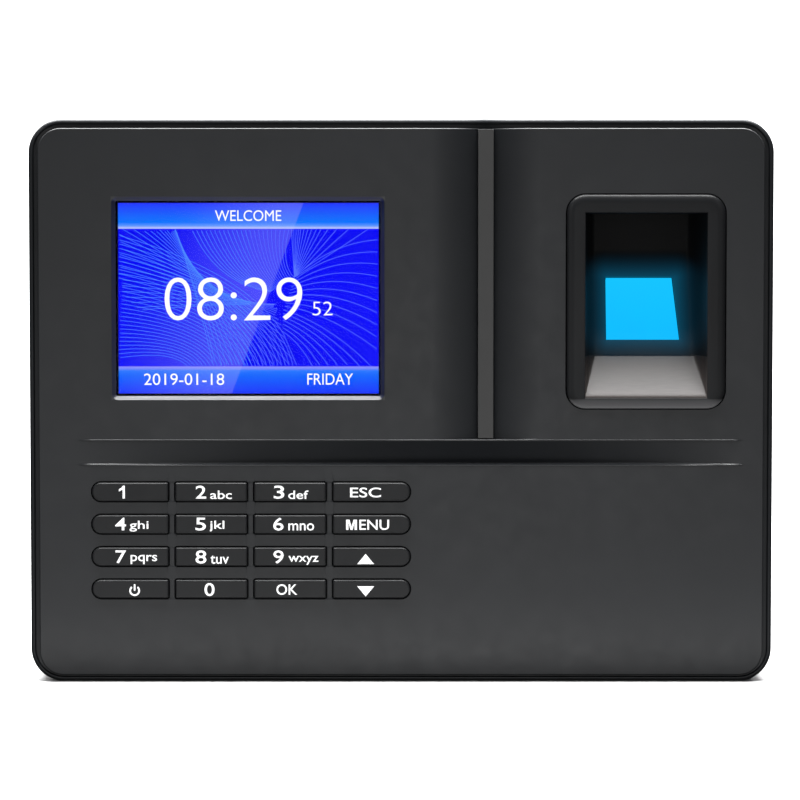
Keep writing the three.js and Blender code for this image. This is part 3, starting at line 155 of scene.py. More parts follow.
def rounded(x0, x1, z0, z1, radius, right_radius=None, steps=8, stops_x=(), stops_z=()):
    """A rounded rectangle in the front view, anticlockwise, with extra points along its straight sides."""
    right = radius if right_radius is None else right_radius
    corners = [(x1, z0, right, -90), (x1, z1, right, 0), (x0, z1, radius, 90), (x0, z0, radius, 180)]
    sides = [
        [(x1, z) for z in stops_z],
        [(x, z1) for x in reversed(stops_x)],
        [(x0, z) for z in reversed(stops_z)],
        [(x, z0) for x in stops_x],
    ]
    points = []
    for (x, z, r, start), side in zip(corners, sides):
        cx = x - math.copysign(r, x - x0 - (x1 - x0) / 2)
        cz = z - math.copysign(r, z - z0 - (z1 - z0) / 2)
        for i in range(steps + 1):
            turn = math.radians(start + 90 * i / steps)
            points.append((cx + r * math.cos(turn), cz + r * math.sin(turn)))
        points += side
    return np.array(points)


def grown(bounds, margin, radius, **options):
    """A rounded rectangle around bounds x0, x1, z0, z1, grown by a margin on every side."""
    x0, x1, z0, z1 = bounds
    corner = max(radius + margin, 0.05)
    return rounded(x0 - margin, x1 + margin, z0 - margin, z1 + margin, corner, **options)


PORT_STOPS = [17.2, 26.8, 29.15, 42.85]
CASE_STOPS_X = list(np.arange(-84.0, 84.5, 1.5))
CASE_STOPS_Z = sorted([*np.arange(9.0, 131.5, 3.5), *PORT_STOPS])


def case_outline(side, top=None, bottom=None):
    """The case's outline in the front view, moved in by an inset of its own at the sides, top and bottom."""
    top = side if top is None else top
    bottom = side if bottom is None else bottom
    radius = max(CORNER - side, 0.3)
    edges = (-HALF_WIDTH + side, HALF_WIDTH - side, bottom, HEIGHT - top)
    return rounded(*edges, radius, steps=14, stops_x=CASE_STOPS_X, stops_z=CASE_STOPS_Z)


def field_outline(inset):
    """The outline of the raised field, moved in by an inset."""
    return case_outline(FIELD_SIDE + inset, FIELD_TOP + inset, FIELD_BOTTOM + inset)


def disc(x, z, radius, count=32):
    """A circle in the front view."""
    turns = np.linspace(0, 2 * math.pi, count, endpoint=False)
    return np.column_stack([x + radius * np.cos(turns), z + radius * np.sin(turns)])


def standing(flat, y):
    """(x, z) points of the front view, as points in space at one Y or at a Y worked out for each."""
    flat = np.asarray(flat, float)
    ys = y(flat) if callable(y) else np.full(len(flat), float(y))
    return np.column_stack([flat[:, 0], ys, flat[:, 1]])


def key_outline(name, margin):
    """The outline of a key's opening, grown by a margin. The outer ends of the outer columns are round."""
    low, high = span(name)
    x0, x1 = low[0] + KEY_FLANGE - margin, high[0] - KEY_FLANGE + margin
    z0, z1 = low[2] + KEY_FLANGE - margin, high[2] - KEY_FLANGE + margin
    end = (z1 - z0) / 2 - 0.05
    square = max(KEY_CORNER + margin, 0.06)
    left = end if name in LEFT_KEYS else square
    right = end if name in RIGHT_KEYS else square
    return rounded(x0, x1, z0, z1, left, right, steps=10)


def inside(points, loop):
    """Which (x, z) points lie inside a loop."""
    x, z = points[:, 0], points[:, 1]
    found = np.zeros(len(points), bool)
    for (ax, az), (bx, bz) in zip(loop, np.roll(loop, -1, axis=0)):
        if az == bz:
            continue
        crosses = (az > z) != (bz > z)
        found ^= crosses & (x < (bx - ax) * (z - az) / (bz - az) + ax)
    return found


# ---------------------------------------------------------------- shapes and pieces


class Shape:
    """Points in millimetres and the faces between them."""

    def __init__(self):
        self.points = []
        self.faces = []

    def ring(self, points):
        start = len(self.points)
        self.points += [tuple(float(v) for v in p) for p in points]
        return list(range(start, len(self.points)))

    def loft(self, loops, first=False, last=False):
        """Joins closed loops of equally many points, one to the next, and caps the ends asked for."""
        rings = [self.ring(loop) for loop in loops]
        for a, b in zip(rings, rings[1:]):
            for i in range(len(a)):
                j = (i + 1) % len(a)
                self.faces.append((a[i], a[j], b[j], b[i]))
        if first:
            self.faces.append(tuple(rings[0]))
        if last:
            self.faces.append(tuple(rings[-1]))
        return self

    def solid(self, loops):
        return self.loft(loops, first=True, last=True)

    def sheet(self, rows):
        """A grid of faces between open rows of equally many points."""
        rings = [self.ring(row) for row in rows]
        for a, b in zip(rings, rings[1:]):
            self.faces += [(a[i], a[i + 1], b[i + 1], b[i]) for i in range(len(a) - 1)]

    def region(self, outer, holes, y, lines=(), dots=()):
        """Fills the front view between an outer loop and its holes. Lines and dots add points to bend at."""
        points, edges = [], []
        for loop in [outer, *holes]:
            start = len(points)
            points += [tuple(p) for p in loop]
            edges += [(start + i, start + (i + 1) % len(loop)) for i in range(len(loop))]
        for line in lines:
            start = len(points)
            points += [tuple(p) for p in line]
            edges += [(start + i, start + i + 1) for i in range(len(line) - 1)]
        if len(dots):
            dots = np.asarray(dots, float)
            free = inside(dots, np.asarray(outer))
            for hole in holes:
                free &= ~inside(dots, np.asarray(hole))
            points += [tuple(p) for p in dots[free]]
        made, _, faces, *_ = delaunay_2d_cdt([Vector(p) for p in points], edges, [], 0, 1e-6)
        flat = np.array([tuple(p) for p in made])
        centres = np.array([flat[list(face)].mean(axis=0) for face in faces])
        kept = inside(centres, np.asarray(outer))
        for hole in holes:
            kept &= ~inside(centres, np.asarray(hole))
        ring = self.ring(standing(flat, y))
        self.faces += [tuple(ring[i] for i in face) for face, keep in zip(faces, kept) if keep]

    def block(self, x0, x1, y0, y1, z0, z1):
        """A plain block."""
        loop = [(x0, z0), (x1, z0), (x1, z1), (x0, z1)]
        return self.solid([standing(loop, y0), standing(loop, y1)])


def added(name, data):
    """A new object in the scene."""
    thing = bpy.data.objects.new(name, data)
    bpy.context.scene.collection.objects.link(thing)
    return thing


def worked_mesh(name, shape, merge, finish):
    """The mesh of a shape, with points nearer than merge joined, then finished by a function."""
    data = bpy.data.meshes.new(name)
    data.from_pydata([Vector(p) * MM for p in shape.points], [], shape.faces)
    work = bmesh.new()
    work.from_mesh(data)
    bmesh.ops.remove_doubles(work, verts=work.verts, dist=merge)
    finish(work)
    work.to_mesh(data)
    work.free()
    return data


def face_out(work):
    bmesh.ops.dissolve_degenerate(work, edges=work.edges, dist=1e-6)
    bmesh.ops.recalc_face_normals(work, faces=work.faces)


def face_front(work):
    loose = [vert for vert in work.verts if not vert.link_faces]
    bmesh.ops.delete(work, geom=loose, context="VERTS")
    for face in work.faces:
        face.normal_update()
    turned = [face for face in work.faces if face.normal.y > 0]
    bmesh.ops.reverse_faces(work, faces=turned)


def mesh_of(name, shape):
    """The mesh of a shape whose faces look outwards."""
    return worked_mesh(name, shape, 2e-6, face_out)


def flat_mesh(name, shape):
    """The mesh of a flat shape whose faces all look to the front."""
    return worked_mesh(name, shape, 1e-7, face_front)


def placed(name, data, material, body=BODY, replaces=(), slot=None, sharp=32):
    """Puts a mesh into the scene as a piece that rides on a body."""
    data.shade_smooth()
    data.set_sharp_from_angle(angle=math.radians(sharp))
    data.materials.clear()
    data.materials.append(material)
    piece = added(name, data)
    normals = piece.modifiers.new("normals", "WEIGHTED_NORMAL")
    normals.keep_sharp = True
    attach(piece, body)
    if replaces:
        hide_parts(*replaces)
    return piece


def piece_of(name, shape, material, **options):
    return placed(name, mesh_of(name, shape), material, **options)


def carved(name, shape, cutter, bevel=0.0):
    """The mesh of a closed shape after a cut, with the edges left by the cut softened."""
    body = added(name, mesh_of(name, shape))
    tool = added(name + "_cut", mesh_of(name + "_cut", cutter))
    cut = body.modifiers.new("cut", "BOOLEAN")
    cut.operation = "DIFFERENCE"
    cut.solver = "EXACT"
    cut.use_self = True
    cut.object = tool
    if bevel:
        soft = body.modifiers.new("soft", "BEVEL")
        soft.width = bevel * MM
        soft.segments = 2
        soft.limit_method = "ANGLE"
        soft.angle_limit = math.radians(50)
        soft.use_clamp_overlap = True
    bpy.context.view_layer.update()
    evaluated = body.evaluated_get(bpy.context.evaluated_depsgraph_get())
    data = bpy.data.meshes.new_from_object(evaluated)
    for thing in (body, tool):
        bpy.data.objects.remove(thing)
    data.name = name
    return data


# ---------------------------------------------------------------- materials


def linear(red, green, blue):
    """A colour given in ordinary 0 to 255 steps, as the shaders want it."""
    steps = [v / 255 for v in (red, green, blue)]
    return tuple(v / 12.92 if v <= 0.04045 else ((v + 0.055) / 1.055) ** 2.4 for v in steps) + (1.0,)


BLACK = (0.0, 0.0, 0.0, 1.0)
WHITE = (1.0, 1.0, 1.0, 1.0)


def shaded(colour, share):
    """A colour made darker or lighter by a share."""
    return tuple(v * share for v in colour[:3]) + (1.0,)


class Value:
    """What a node gives out. Each sum or comparison adds a math node, and a comparison gives 0 or 1."""

    def __init__(self, nodes, socket):
        self.nodes = nodes
        self.socket = socket

    def __add__(self, other):
        return self.nodes.math("ADD", self, other)

    def __sub__(self, other):
        return self.nodes.math("SUBTRACT", self, other)

    def __rsub__(self, other):
        return self.nodes.math("SUBTRACT", other, self)

    def __mul__(self, other):
        return self.nodes.math("MULTIPLY", self, other)

    def __truediv__(self, other):
        return self.nodes.math("DIVIDE", self, other)

    def __pow__(self, other):
        return self.nodes.math("POWER", self, other)

    def __abs__(self):
        return self.nodes.math("ABSOLUTE", self)

    def __gt__(self, other):
        return self.nodes.math("GREATER_THAN", self, other)

    def __lt__(self, other):
        return self.nodes.math("LESS_THAN", self, other)

    def clamped(self):
        """Keeps the result of the math node between 0 and 1."""
        self.socket.node.use_clamp = True
        return self


class Nodes:
    """A material's node tree, with short ways to add and join nodes."""

    def __init__(self, name):
        self.material = bpy.data.materials.new(name)
        self.material.use_nodes = True
        self.tree = self.material.node_tree
        self.shader = self.tree.nodes["Principled BSDF"]
        self.output = self.tree.nodes["Material Output"]

    def feed(self, socket, value):
        """Sets a socket to a number or a colour, or joins it to what another node gives out."""
        if isinstance(value, (int, float, tuple)):
            socket.default_value = value
        else:
            self.tree.links.new(value.socket, socket)

    def add(self, kind, inputs, output=0, **settings):
        """Adds a node, feeds the inputs that are named, and gives back one of its outputs."""
        node = self.tree.nodes.new(kind)
        for key, value in settings.items():
            setattr(node, key, value)
        for key, value in inputs.items():
            self.feed(node.inputs[key], value)
        return Value(self, node.outputs[output])

    def surface(self, inputs):
        """Feeds the shader's inputs that are named."""
        for key, value in inputs.items():
            self.feed(self.shader.inputs[key], value)

    def math(self, operation, *inputs):
        return self.add("ShaderNodeMath", dict(enumerate(inputs)), operation=operation)

    def place(self):
        """X, Y and Z in the piece's own coordinates, in millimetres, and the three together."""
        where = self.add("ShaderNodeTexCoord", {}, output="Object")
        scaled = self.add("ShaderNodeVectorMath", {0: where, "Scale": 1 / MM}, operation="SCALE")
        split = self.add("ShaderNodeSeparateXYZ", {0: scaled})
        return [*(Value(self, socket) for socket in split.socket.node.outputs), scaled]

    def noise(self, where, scale, detail=3.0, rough=0.55, stretch=None):
        if stretch:
            where = self.add("ShaderNodeMapping", {"Vector": where, "Scale": stretch})
        inputs = {"Vector": where, "Scale": scale, "Detail": detail, "Roughness": rough}
        return self.add("ShaderNodeTexNoise", inputs, output="Fac")

    def spread(self, value, low, high):
        """Maps noise, which stays near a half, to the range from low to high."""
        inputs = {"Value": value, "From Min": 0.3, "From Max": 0.7, "To Min": low, "To Max": high}
        return self.add("ShaderNodeMapRange", inputs)

    def mix(self, share, first, second):
        return self.add("ShaderNodeMix", {0: share, 6: first, 7: second}, output=2, data_type="RGBA")

    def ramp(self, value, stops):
        shade = self.add("ShaderNodeValToRGB", {0: value})
        elements = shade.socket.node.color_ramp.elements
        while len(elements) < len(stops):
            elements.new(0.5)
        for element, (position, colour) in zip(elements, stops):
            element.position = position
            element.color = colour
        return shade

    def bump(self, height, distance):
        bumped = self.add("ShaderNodeBump", {"Height": height, "Distance": distance * MM, "Strength": 1.0})
        self.surface({"Normal": bumped})


GRAIN_SIZE = 0.35


def plastic_nodes(name, colour, rough=(0.34, 0.42), grain=0.006, cloud=0.12, specular=0.5):
    """Moulded plastic: a fine even grain, faint clouds in its colour and slightly uneven gloss."""
    nodes = Nodes(name)
    place = nodes.place()[3]
    clouds = nodes.spread(nodes.noise(place, 0.035), 0.0, 1.0)
    darker = shaded(colour, 1 - cloud)
    fine = nodes.noise(place, 1 / GRAIN_SIZE, detail=4.0, rough=0.6)
    clouded = nodes.mix(clouds, darker, shaded(colour, 1 + cloud))
    speckled = nodes.mix(nodes.spread(fine, 0.0, 0.25), clouded, darker)
    uneven = nodes.spread(nodes.noise(place, 0.2), *rough)
    nodes.surface({"Base Color": speckled, "Roughness": uneven, "Specular IOR Level": specular})
    nodes.bump(fine, grain)
    return nodes


def plastic(name, colour, **options):
    return plastic_nodes(name, colour, **options).material


def metal(name, colour, rough=(0.25, 0.38), stretch=(1.0, 1.0, 8.0)):
    """Brushed or plated metal, with fine lines along one way."""
    nodes = Nodes(name)
    lines = nodes.noise(nodes.place()[3], 1.2, detail=5.0, stretch=stretch)
    lined = nodes.mix(nodes.spread(lines, 0.0, 1.0), shaded(colour, 0.82), colour)
    nodes.surface({"Base Color": lined, "Roughness": nodes.spread(lines, *rough), "Metallic": 1.0})
    nodes.bump(lines, 0.004)
    return nodes.material


CASE_COLOUR = linear(30, 32, 35)
case_plastic = plastic("case_plastic", CASE_COLOUR)

# the front's specular level from place to place, lowered to paint shade and raised to paint a highlight
FRONT_GLOSS = 0.5
BEZEL_PAINTED_HIGHLIGHT = 0.4  # added on the display's bezel as a painted highlight
PAINTED_SHADE_MOST = 0.42  # taken off beside the strip and in the middle of the ledge as painted shade
RIM_PAINTED_SHADE = 0.6  # share of that taken off on the rim as painted shade
RIM_FIT = 0.2  # how far outside the field's edge the rim's painted shade starts
BEZEL_SHARE = 0.9  # share of the bezel's width that gets the painted highlight


def front_plastic():
    """The case's plastic, with shade painted by a lower specular level on the rim, in the coves and in the
    ledge, and a highlight painted by a higher one on the bezel.
    """
    nodes = plastic_nodes("front_plastic", CASE_COLOUR)
    x, _, z, _ = nodes.place()
    # painted shade: less specular in the coves beside the strip, in the ledge's middle and on the rim
    cove = (1.0 - abs(x - strip_x) / (strip_half + COVE_WIDTH)).clamped()
    painted_shade = cove**0.9 * (z > LEDGE_TOP)
    in_band = (z > LEDGE_BOTTOM + LIP) * (z < LEDGE_TOP - 2 * LIP)
    share = nodes.math("MAXIMUM", *((x - strip_x) / (end - strip_x) for end in LEDGE_ENDS))
    near_middle = (1.0 - share**1.5).clamped()
    painted_shade = nodes.math("MAXIMUM", painted_shade, in_band * near_middle)
    side = abs(x) - (HALF_WIDTH - FIELD_SIDE + RIM_FIT)
    top = z - (HEIGHT - FIELD_TOP + RIM_FIT)
    rim = nodes.math("MAXIMUM", side, top) > 0.0
    painted_shade = nodes.math("MAXIMUM", painted_shade, rim * RIM_PAINTED_SHADE)
    # painted highlight: more specular on the bezel
    in_x = abs(x - view_x) < (opening[1] - opening[0]) / 2 + BEZEL_SHARE * BEZEL_WIDTH
    in_z = abs(z - view_z) < (opening[3] - opening[2]) / 2 + BEZEL_SHARE * BEZEL_WIDTH
    nodes.surface({"Specular IOR Level": in_x * in_z * BEZEL_PAINTED_HIGHLIGHT + FRONT_GLOSS - painted_shade * PAINTED_SHADE_MOST})
    return nodes.material


def ink_material():
    """White print that gives a little light of its own."""
    nodes = plastic_nodes("legend_ink", linear(244, 245, 246), rough=(0.45, 0.55), grain=0.001, cloud=0.02)
    nodes.surface({"Emission Color": WHITE, "Emission Strength": 0.5})
    return nodes.material


KEY_GLOSS = {"rough": (0.38, 0.46), "grain": 0.004, "cloud": 0.08, "specular": 0.36}
key_plastic = plastic("key_plastic", linear(26, 27, 29), **KEY_GLOSS)
strip_plastic = plastic("strip_plastic", linear(64, 64, 64), rough=(0.5, 0.58), grain=0.005, cloud=0.05)
inner_plastic = plastic("inner_plastic", linear(30, 30, 32), rough=(0.4, 0.5))
white_plastic = plastic("white_plastic", linear(222, 220, 210), rough=(0.4, 0.5), cloud=0.04)
black_rubber = plastic("black_rubber", linear(26, 26, 27), rough=(0.6, 0.75), grain=0.01)
legend_ink = ink_material()
silicone = plastic("silicone_mat", linear(62, 65, 68), rough=(0.55, 0.65))
zinc = metal("zinc", linear(186, 190, 194))
steel = metal("steel", linear(168, 170, 172), rough=(0.3, 0.45), stretch=(8.0, 1.0, 1.0))
brass = metal("brass", linear(201, 170, 98))
label_paper = plastic("label_paper", linear(178, 180, 182), rough=(0.32, 0.4), grain=0.002, cloud=0.03)
label_ink = plastic("label_ink", linear(60, 61, 63), rough=(0.4, 0.5), grain=0.001)


# ---------------------------------------------------------------- front cover


def smooth_step(value):
    value = np.clip(value, 0.0, 1.0)
    return value * value * (3 - 2 * value)


def quarter(radius, count):
    """A rounded edge: how far in and how far down each of its points lies."""
    turns = np.radians(np.linspace(0, 90, count))
    return [(radius * (1 - math.cos(turn)), radius * (1 - math.sin(turn))) for turn in turns]


COVE_CURVE = 1.6
SCOOP_CURVE = 1.35
LEDGE_FADE = 35  # how quickly the ledge's beads fade out at its two ends
# Each bead along the ledge: its height over the ledge's foot, half its width, and how proud it stands
LEDGE_BEADS = ((LEDGE_HEIGHT - 0.3, 0.26, 0.16), (-0.12, 0.36, 0.2))
NEAR = 1e-6


def field_y(flat):
    """Y of the sculpted front field: two coves beside the strip, and a ledge that runs across under them."""
    x, z = flat[:, 0], flat[:, 1]
    away = np.maximum(np.abs(x - strip_x) - strip_half, 0.0)
    cove = COVE_DEPTH * np.clip(1 - away / COVE_WIDTH, 0, 1) ** COVE_CURVE
    depth = np.where(z > LEDGE_TOP - NEAR, cove, 0.0)
    ends = np.where(x < strip_x, LEDGE_ENDS[0], LEDGE_ENDS[1])
    share = np.clip(np.abs((x - strip_x) / (ends - strip_x)), 0.0, 1.0)
    sag = LEDGE_DEPTH * (1 - share**2)
    above = z - LEDGE_BOTTOM
    scoop = np.clip((LEDGE_HEIGHT - above) / (LEDGE_HEIGHT - LIP), 0.0, 1.0) ** SCOOP_CURVE
    lip = 0.5 - 0.5 * np.cos(math.pi * np.clip((above + LIP) / (2 * LIP), 0.0, 1.0))
    band = (z < LEDGE_TOP - NEAR) & (above > -LIP)
    depth += np.where(band, sag * scoop * lip, 0.0)
    fade = smooth_step((1 - share) * LEDGE_FADE)
    for middle, half, proud in LEDGE_BEADS:
        bead = np.cos(np.clip((above - middle) / half, -1, 1) * math.pi / 2) ** 2
        depth -= proud * bead * fade
    return FIELD_Y + depth


def edge_y(drop):
    """Y at a drop behind the sculpted field."""
    return lambda flat: field_y(flat) + drop


BEZEL = [(BEZEL_WIDTH, 0.0), (1.0, 0.05), (0.82, 0.2), (0.6, 0.45), (0.38, 0.7), (0.18, 0.88)]
BEZEL += [(0.04, 0.96), (0.0, 1.08)]
BEZEL_SEAT = 1.1
OPENING_CORNER = 0.5
HOLE_EDGE = [(0.14, 0.0), (0.05, 0.05), (0.0, 0.16)]
STRIP_TOP = HEIGHT - FIELD_TOP - 0.3
strip_bounds = [strip_low[0], strip_high[0], strip_low[2], STRIP_TOP]
hood_bounds = [hood_low[0], hood_high[0], hood_low[2], hood_high[2]]
HOLE_DEPTH = FIELD_Y + WALL
# Heights over the ledge's foot where the field's mesh bends
LEDGE_RISES = [6.3, 6.26, 6.2, 6.12, 6.04, 5.96, 5.88, 5.8, 5.7, 5.4, 4.9, 4.3, 3.7, 3.1, 2.5, 1.9, 1.4]
LEDGE_RISES += [1.0, 0.7, 0.45, 0.3, 0.2, 0.1, 0.0, -0.1, -0.2, -0.3, -0.4, -0.55]


def hood_outline(margin):
    return grown(hood_bounds, margin, HOOD_CORNER, steps=16)


def strip_opening(margin):
    """The strip's opening, grown by a margin, with points up its sides to follow the field."""
    stops = list(np.arange(64.0, STRIP_TOP - 1, 3.0))
    return grown(strip_bounds, STRIP_GAP + margin - HOLE_EDGE[0][0], 0.1, steps=2, stops_z=stops)


def hole(shape, outline_at, bottom):
    """A hole in the field, with a softly rounded edge. Returns the loop that it leaves in the field."""
    loops = [standing(outline_at(margin), edge_y(drop)) for margin, drop in HOLE_EDGE]
    shape.loft([*loops, standing(outline_at(0.0), bottom)])
    return outline_at(HOLE_EDGE[0][0])


def front_cover():
    """The front cover: its rim from the seam inwards, the bezel, the openings and the sculpted field."""
    shape = Shape()
    back = FIELD_Y + SEAM_DEPTH
    rim = [(WALL, back), (0.12, back), (0.0, back - 0.12)]
    rim += [(inset, FIELD_Y + BEAD_DROP + drop) for inset, drop in quarter(BEAD_ROUND, 7)]
    groove = [(1.05, 1.36), (1.17, 1.52), (1.24, 1.75), (1.32, GROOVE_DEPTH)]
    rim += [(inset, FIELD_Y + drop) for inset, drop in groove]
    loops = [standing(case_outline(inset), y) for inset, y in rim]
    field = [(-0.12, GROOVE_DEPTH), (-0.02, GROOVE_DEPTH - 0.12)]
    loops += [standing(field_outline(inset), FIELD_Y + depth) for inset, depth in field]
    loops += [standing(field_outline(inset), edge_y(drop)) for inset, drop in quarter(FIELD_ROUND, 5)]
    shape.loft(loops)

    bezel = [grown(opening, margin, OPENING_CORNER, steps=6) for margin, _ in BEZEL]
    bezel_loops = [standing(loop, FIELD_Y + drop) for loop, (_, drop) in zip(bezel, BEZEL)]
    seat = grown(opening, LENS_OVERLAP, OPENING_CORNER, steps=6)
    shape.loft([*bezel_loops, standing(seat, FIELD_Y + BEZEL_SEAT)])
    holes = [bezel[0]]
    holes.append(hole(shape, lambda m: hood_outline(STRIP_GAP + m), HOOD_SEAT))
    holes.append(hole(shape, strip_opening, FIELD_Y + STRIP_DEPTH + 0.1))
    for name in KEYS:
        holes.append(hole(shape, lambda m, name=name: key_outline(name, m), HOLE_DEPTH))

    xs = np.arange(LEDGE_ENDS[0] - 2, LEDGE_ENDS[1] + 2, 1.8)
    lines = [[(x, LEDGE_BOTTOM + rise) for x in xs] for rise in LEDGE_RISES]
    aways = strip_half + 0.6 + np.arange(0, COVE_WIDTH + 1, 0.75)
    heights = np.arange(61.3, 137, 2.1)
    coves = [(strip_x + side * away, z) for side in (-1, 1) for away in aways for z in heights]
    shape.region(field_outline(FIELD_ROUND), holes, field_y, lines=lines, dots=coves)
    return shape


shell = front_cover()
piece_of("front_shell", shell, front_plastic(), replaces=["front_cover"], slot="front_plastic", sharp=40)


def accent_strip():
    """The straight bar that stands between the two coves."""
    x0, x1, z0, z1 = strip_bounds
    profile = [(0.12, STRIP_DEPTH), (0.0, STRIP_DEPTH), (0.0, 0.1), (0.03, 0.03), (0.1, 0.0)]
    loops = []
    for inset, depth in profile:
        outline = rounded(x0 + inset, x1 - inset, z0 + inset, z1 - inset, 0.12, steps=3)
        loops.append(standing(outline, FIELD_Y + depth))
    return Shape().solid(loops)


piece_of("accent_bar", accent_strip(), strip_plastic, replaces=["accent_strip"], slot="strip_plastic")


# ---------------------------------------------------------------- lettering


def outlined(text, weight=0.0):
    """A text's mesh in its own plane, in font units, and its lowest and highest corners."""
    curve = bpy.data.curves.new("lettering", "FONT")
    curve.body = text
    curve.offset = weight
    curve.resolution_u = 5
    thing = added("lettering", curve)
    bpy.context.view_layer.update()
    evaluated = thing.evaluated_get(bpy.context.evaluated_depsgraph_get())
    data = bpy.data.meshes.new_from_object(evaluated)
    bpy.data.objects.remove(thing)
    points = np.array([tuple(v.co) for v in data.vertices])
    faces = [tuple(p.vertices) for p in data.polygons]
    bpy.data.meshes.remove(data)
    return points, faces


def lettering(shape, text, bounds, y, weight=0.0):
    """Adds a text that fills the bounds x0, x1, z0, z1, facing the front."""
    points, faces = outlined(text, weight)
    low, high = points.min(axis=0), points.max(axis=0)
    x0, x1, z0, z1 = bounds
    x = x0 + (points[:, 0] - low[0]) / (high[0] - low[0]) * (x1 - x0)
    z = z0 + (points[:, 1] - low[1]) / (high[1] - low[1]) * (z1 - z0)
    start = len(shape.points)
    shape.points += list(zip(x, np.full(len(x), y), z))
    shape.faces += [tuple(start + i for i in face) for face in faces]


# Outlines in a box of one by one, for characters whose built-in outline is a bare bar or won't thicken
OWN_OUTLINES = {
    "1": [(0.62, 0.0), (1.0, 0.0), (1.0, 1.0), (0.7, 1.0), (0.45, 0.85), (0.0, 0.72)]
    + [(0.0, 0.54), (0.62, 0.7)],
    "M": [(0.0, 0.0), (0.22, 0.0), (0.22, 0.74), (0.4, 0.0), (0.6, 0.0), (0.78, 0.74), (0.78, 0.0)]
    + [(1.0, 0.0), (1.0, 1.0), (0.68, 1.0), (0.5, 0.3), (0.32, 1.0), (0.0, 1.0)],
}


def own_outline(shape, text, bounds, y):
    """Adds a character from its own outline, filling the bounds."""
    x0, x1, z0, z1 = bounds
    flat = [(x0 + u * (x1 - x0), z0 + v * (z1 - z0)) for u, v in OWN_OUTLINES[text]]
    shape.faces.append(tuple(shape.ring(standing(flat, y))))


# ---------------------------------------------------------------- keys

KEY_PROFILE = [(0.66, 0.0), (0.52, 0.0), (0.38, 0.03), (0.25, 0.1), (0.14, 0.2), (0.05, 0.33), (0.0, 0.52)]
INK_PROUD = 0.02
# Each legend: text, then its left, right, lower and upper edge from the middle of its key
LEGENDS = {
    "key_1": [("1", -2.75, -1.25, -1.62, 1.62)],
    "key_2": [("2", -3.8, -1.2, -1.62, 1.62), ("abc", -0.2, 5.2, -1.73, 0.4)],
    "key_3": [("3", -4.0, -1.4, -1.66, 1.62), ("def", -0.4, 4.6, -1.73, 0.4)],
    "key_esc": [("ESC", -5.3, 2.4, -1.34, 1.13)],
    "key_4": [("4", -3.7, -1.0, -1.45, 1.7), ("ghi", -0.15, 4.6, -1.75, 0.95)],
    "key_5": [("5", -3.9, -1.3, -1.5, 1.7), ("jkl", -0.45, 3.3, -1.75, 0.95)],
    "key_6": [("6", -4.15, -1.6, -1.5, 1.7), ("mno", -0.4, 6.0, -1.5, 0.3)],
    "key_menu": [("M", -6.3, -3.6, -1.35, 1.2), ("ENU", -3.0, 4.4, -1.35, 1.2)],
    "key_7": [("7", -3.65, -1.0, -1.6, 1.62), ("pqrs", 0.1, 6.7, -1.8, 0.5)],
    "key_8": [("8", -3.9, -1.2, -1.66, 1.62), ("tuv", -0.2, 4.4, -1.73, 0.4)],
    "key_9": [("9", -4.15, -1.6, -1.66, 1.62), ("wxyz", -0.4, 7.1, -1.95, 0.25)],
    "key_0": [("0", -1.7, 0.8, -1.7, 1.55)],
    "key_ok": [("OK", -3.4, 1.8, -1.4, 1.25)],
}
LARGE_WEIGHT, SMALL_WEIGHT = 0.009, 0.008
ARROW = (-3.55, 0.67, -1.8, 0.75)
POWER_PLACE = (1.08, -0.35)


def arrow(shape, x, z, upward, y):
    """A triangle that points up or down."""
    x0, x1, z0, z1 = ARROW
    tip, base = (z1, z0) if upward else (z0, z1)
    corners = [(x + x0, z + base), (x + x1, z + base), (x + (x0 + x1) / 2, z + tip)]
    shape.faces.append(tuple(shape.ring(standing(corners, y))))


def power_sign(shape, x, z, y):
    """An open ring with a bar in its gap."""
    radius, width, rise, gap = 1.12, 0.42, 1.6, math.radians(38)
    turns = np.linspace(math.pi / 2 + gap, math.pi / 2 + 2 * math.pi - gap, 40)
    rows = []
    for r in (radius - width / 2, radius + width / 2):
        rows.append(standing(np.column_stack([x + r * np.cos(turns), z + r * np.sin(turns)]), y))
    shape.sheet(rows)
    bar = [(x - width / 2, z), (x + width / 2, z), (x + width / 2, z + rise), (x - width / 2, z + rise)]
    shape.faces.append(tuple(shape.ring(standing(bar, y))))


def make_key(name):
    """One key cap with its flange, and its legend."""
    low, high = span(name)
    x, z = (low[0] + high[0]) / 2, (low[2] + high[2]) / 2
    flange_front = high[1] - KEY_FLANGE_THICKNESS
    loops = [standing(key_outline(name, -KEY_GAP - inset), KEY_FRONT + drop) for inset, drop in KEY_PROFILE]
    loops.append(standing(key_outline(name, -KEY_GAP), flange_front))
    loops += [standing(key_outline(name, KEY_FLANGE), y) for y in (flange_front, high[1])]
    cap = Shape().solid(loops)
    body = name + "_cap"
    piece_of("cap_" + name[4:], cap, key_plastic, body=body, replaces=[name], slot="key_plastic")
    ink = Shape()
    y = KEY_FRONT - INK_PROUD
    for text, x0, x1, z0, z1 in LEGENDS.get(name, []):
        bounds = (x + x0, x + x1, z + z0, z + z1)
        if text in OWN_OUTLINES:
            own_outline(ink, text, bounds, y)
        else:
            lettering(ink, text, bounds, y, SMALL_WEIGHT if text.islower() else LARGE_WEIGHT)
    if name in ("key_up", "key_down"):
        arrow(ink, x, z, name == "key_up", y)
    if name == "key_power":
        power_sign(ink, x + POWER_PLACE[0], z + POWER_PLACE[1], y)
    placed("legend_" + name[4:], flat_mesh("legend_" + name[4:], ink), legend_ink, body=body)


for key in KEYS:
    make_key(key)


# ---------------------------------------------------------------- keypad mat

MAT_THICKNESS = 1.0
MAT_CORNER = 2.0
MAT_EDGE = 0.2
DOME_FOOT = (5.5, 2.0)
DOME_CROWN = (4.5, 1.4)
DOME_CORNER = 0.6
DOME_ROUND = 0.2


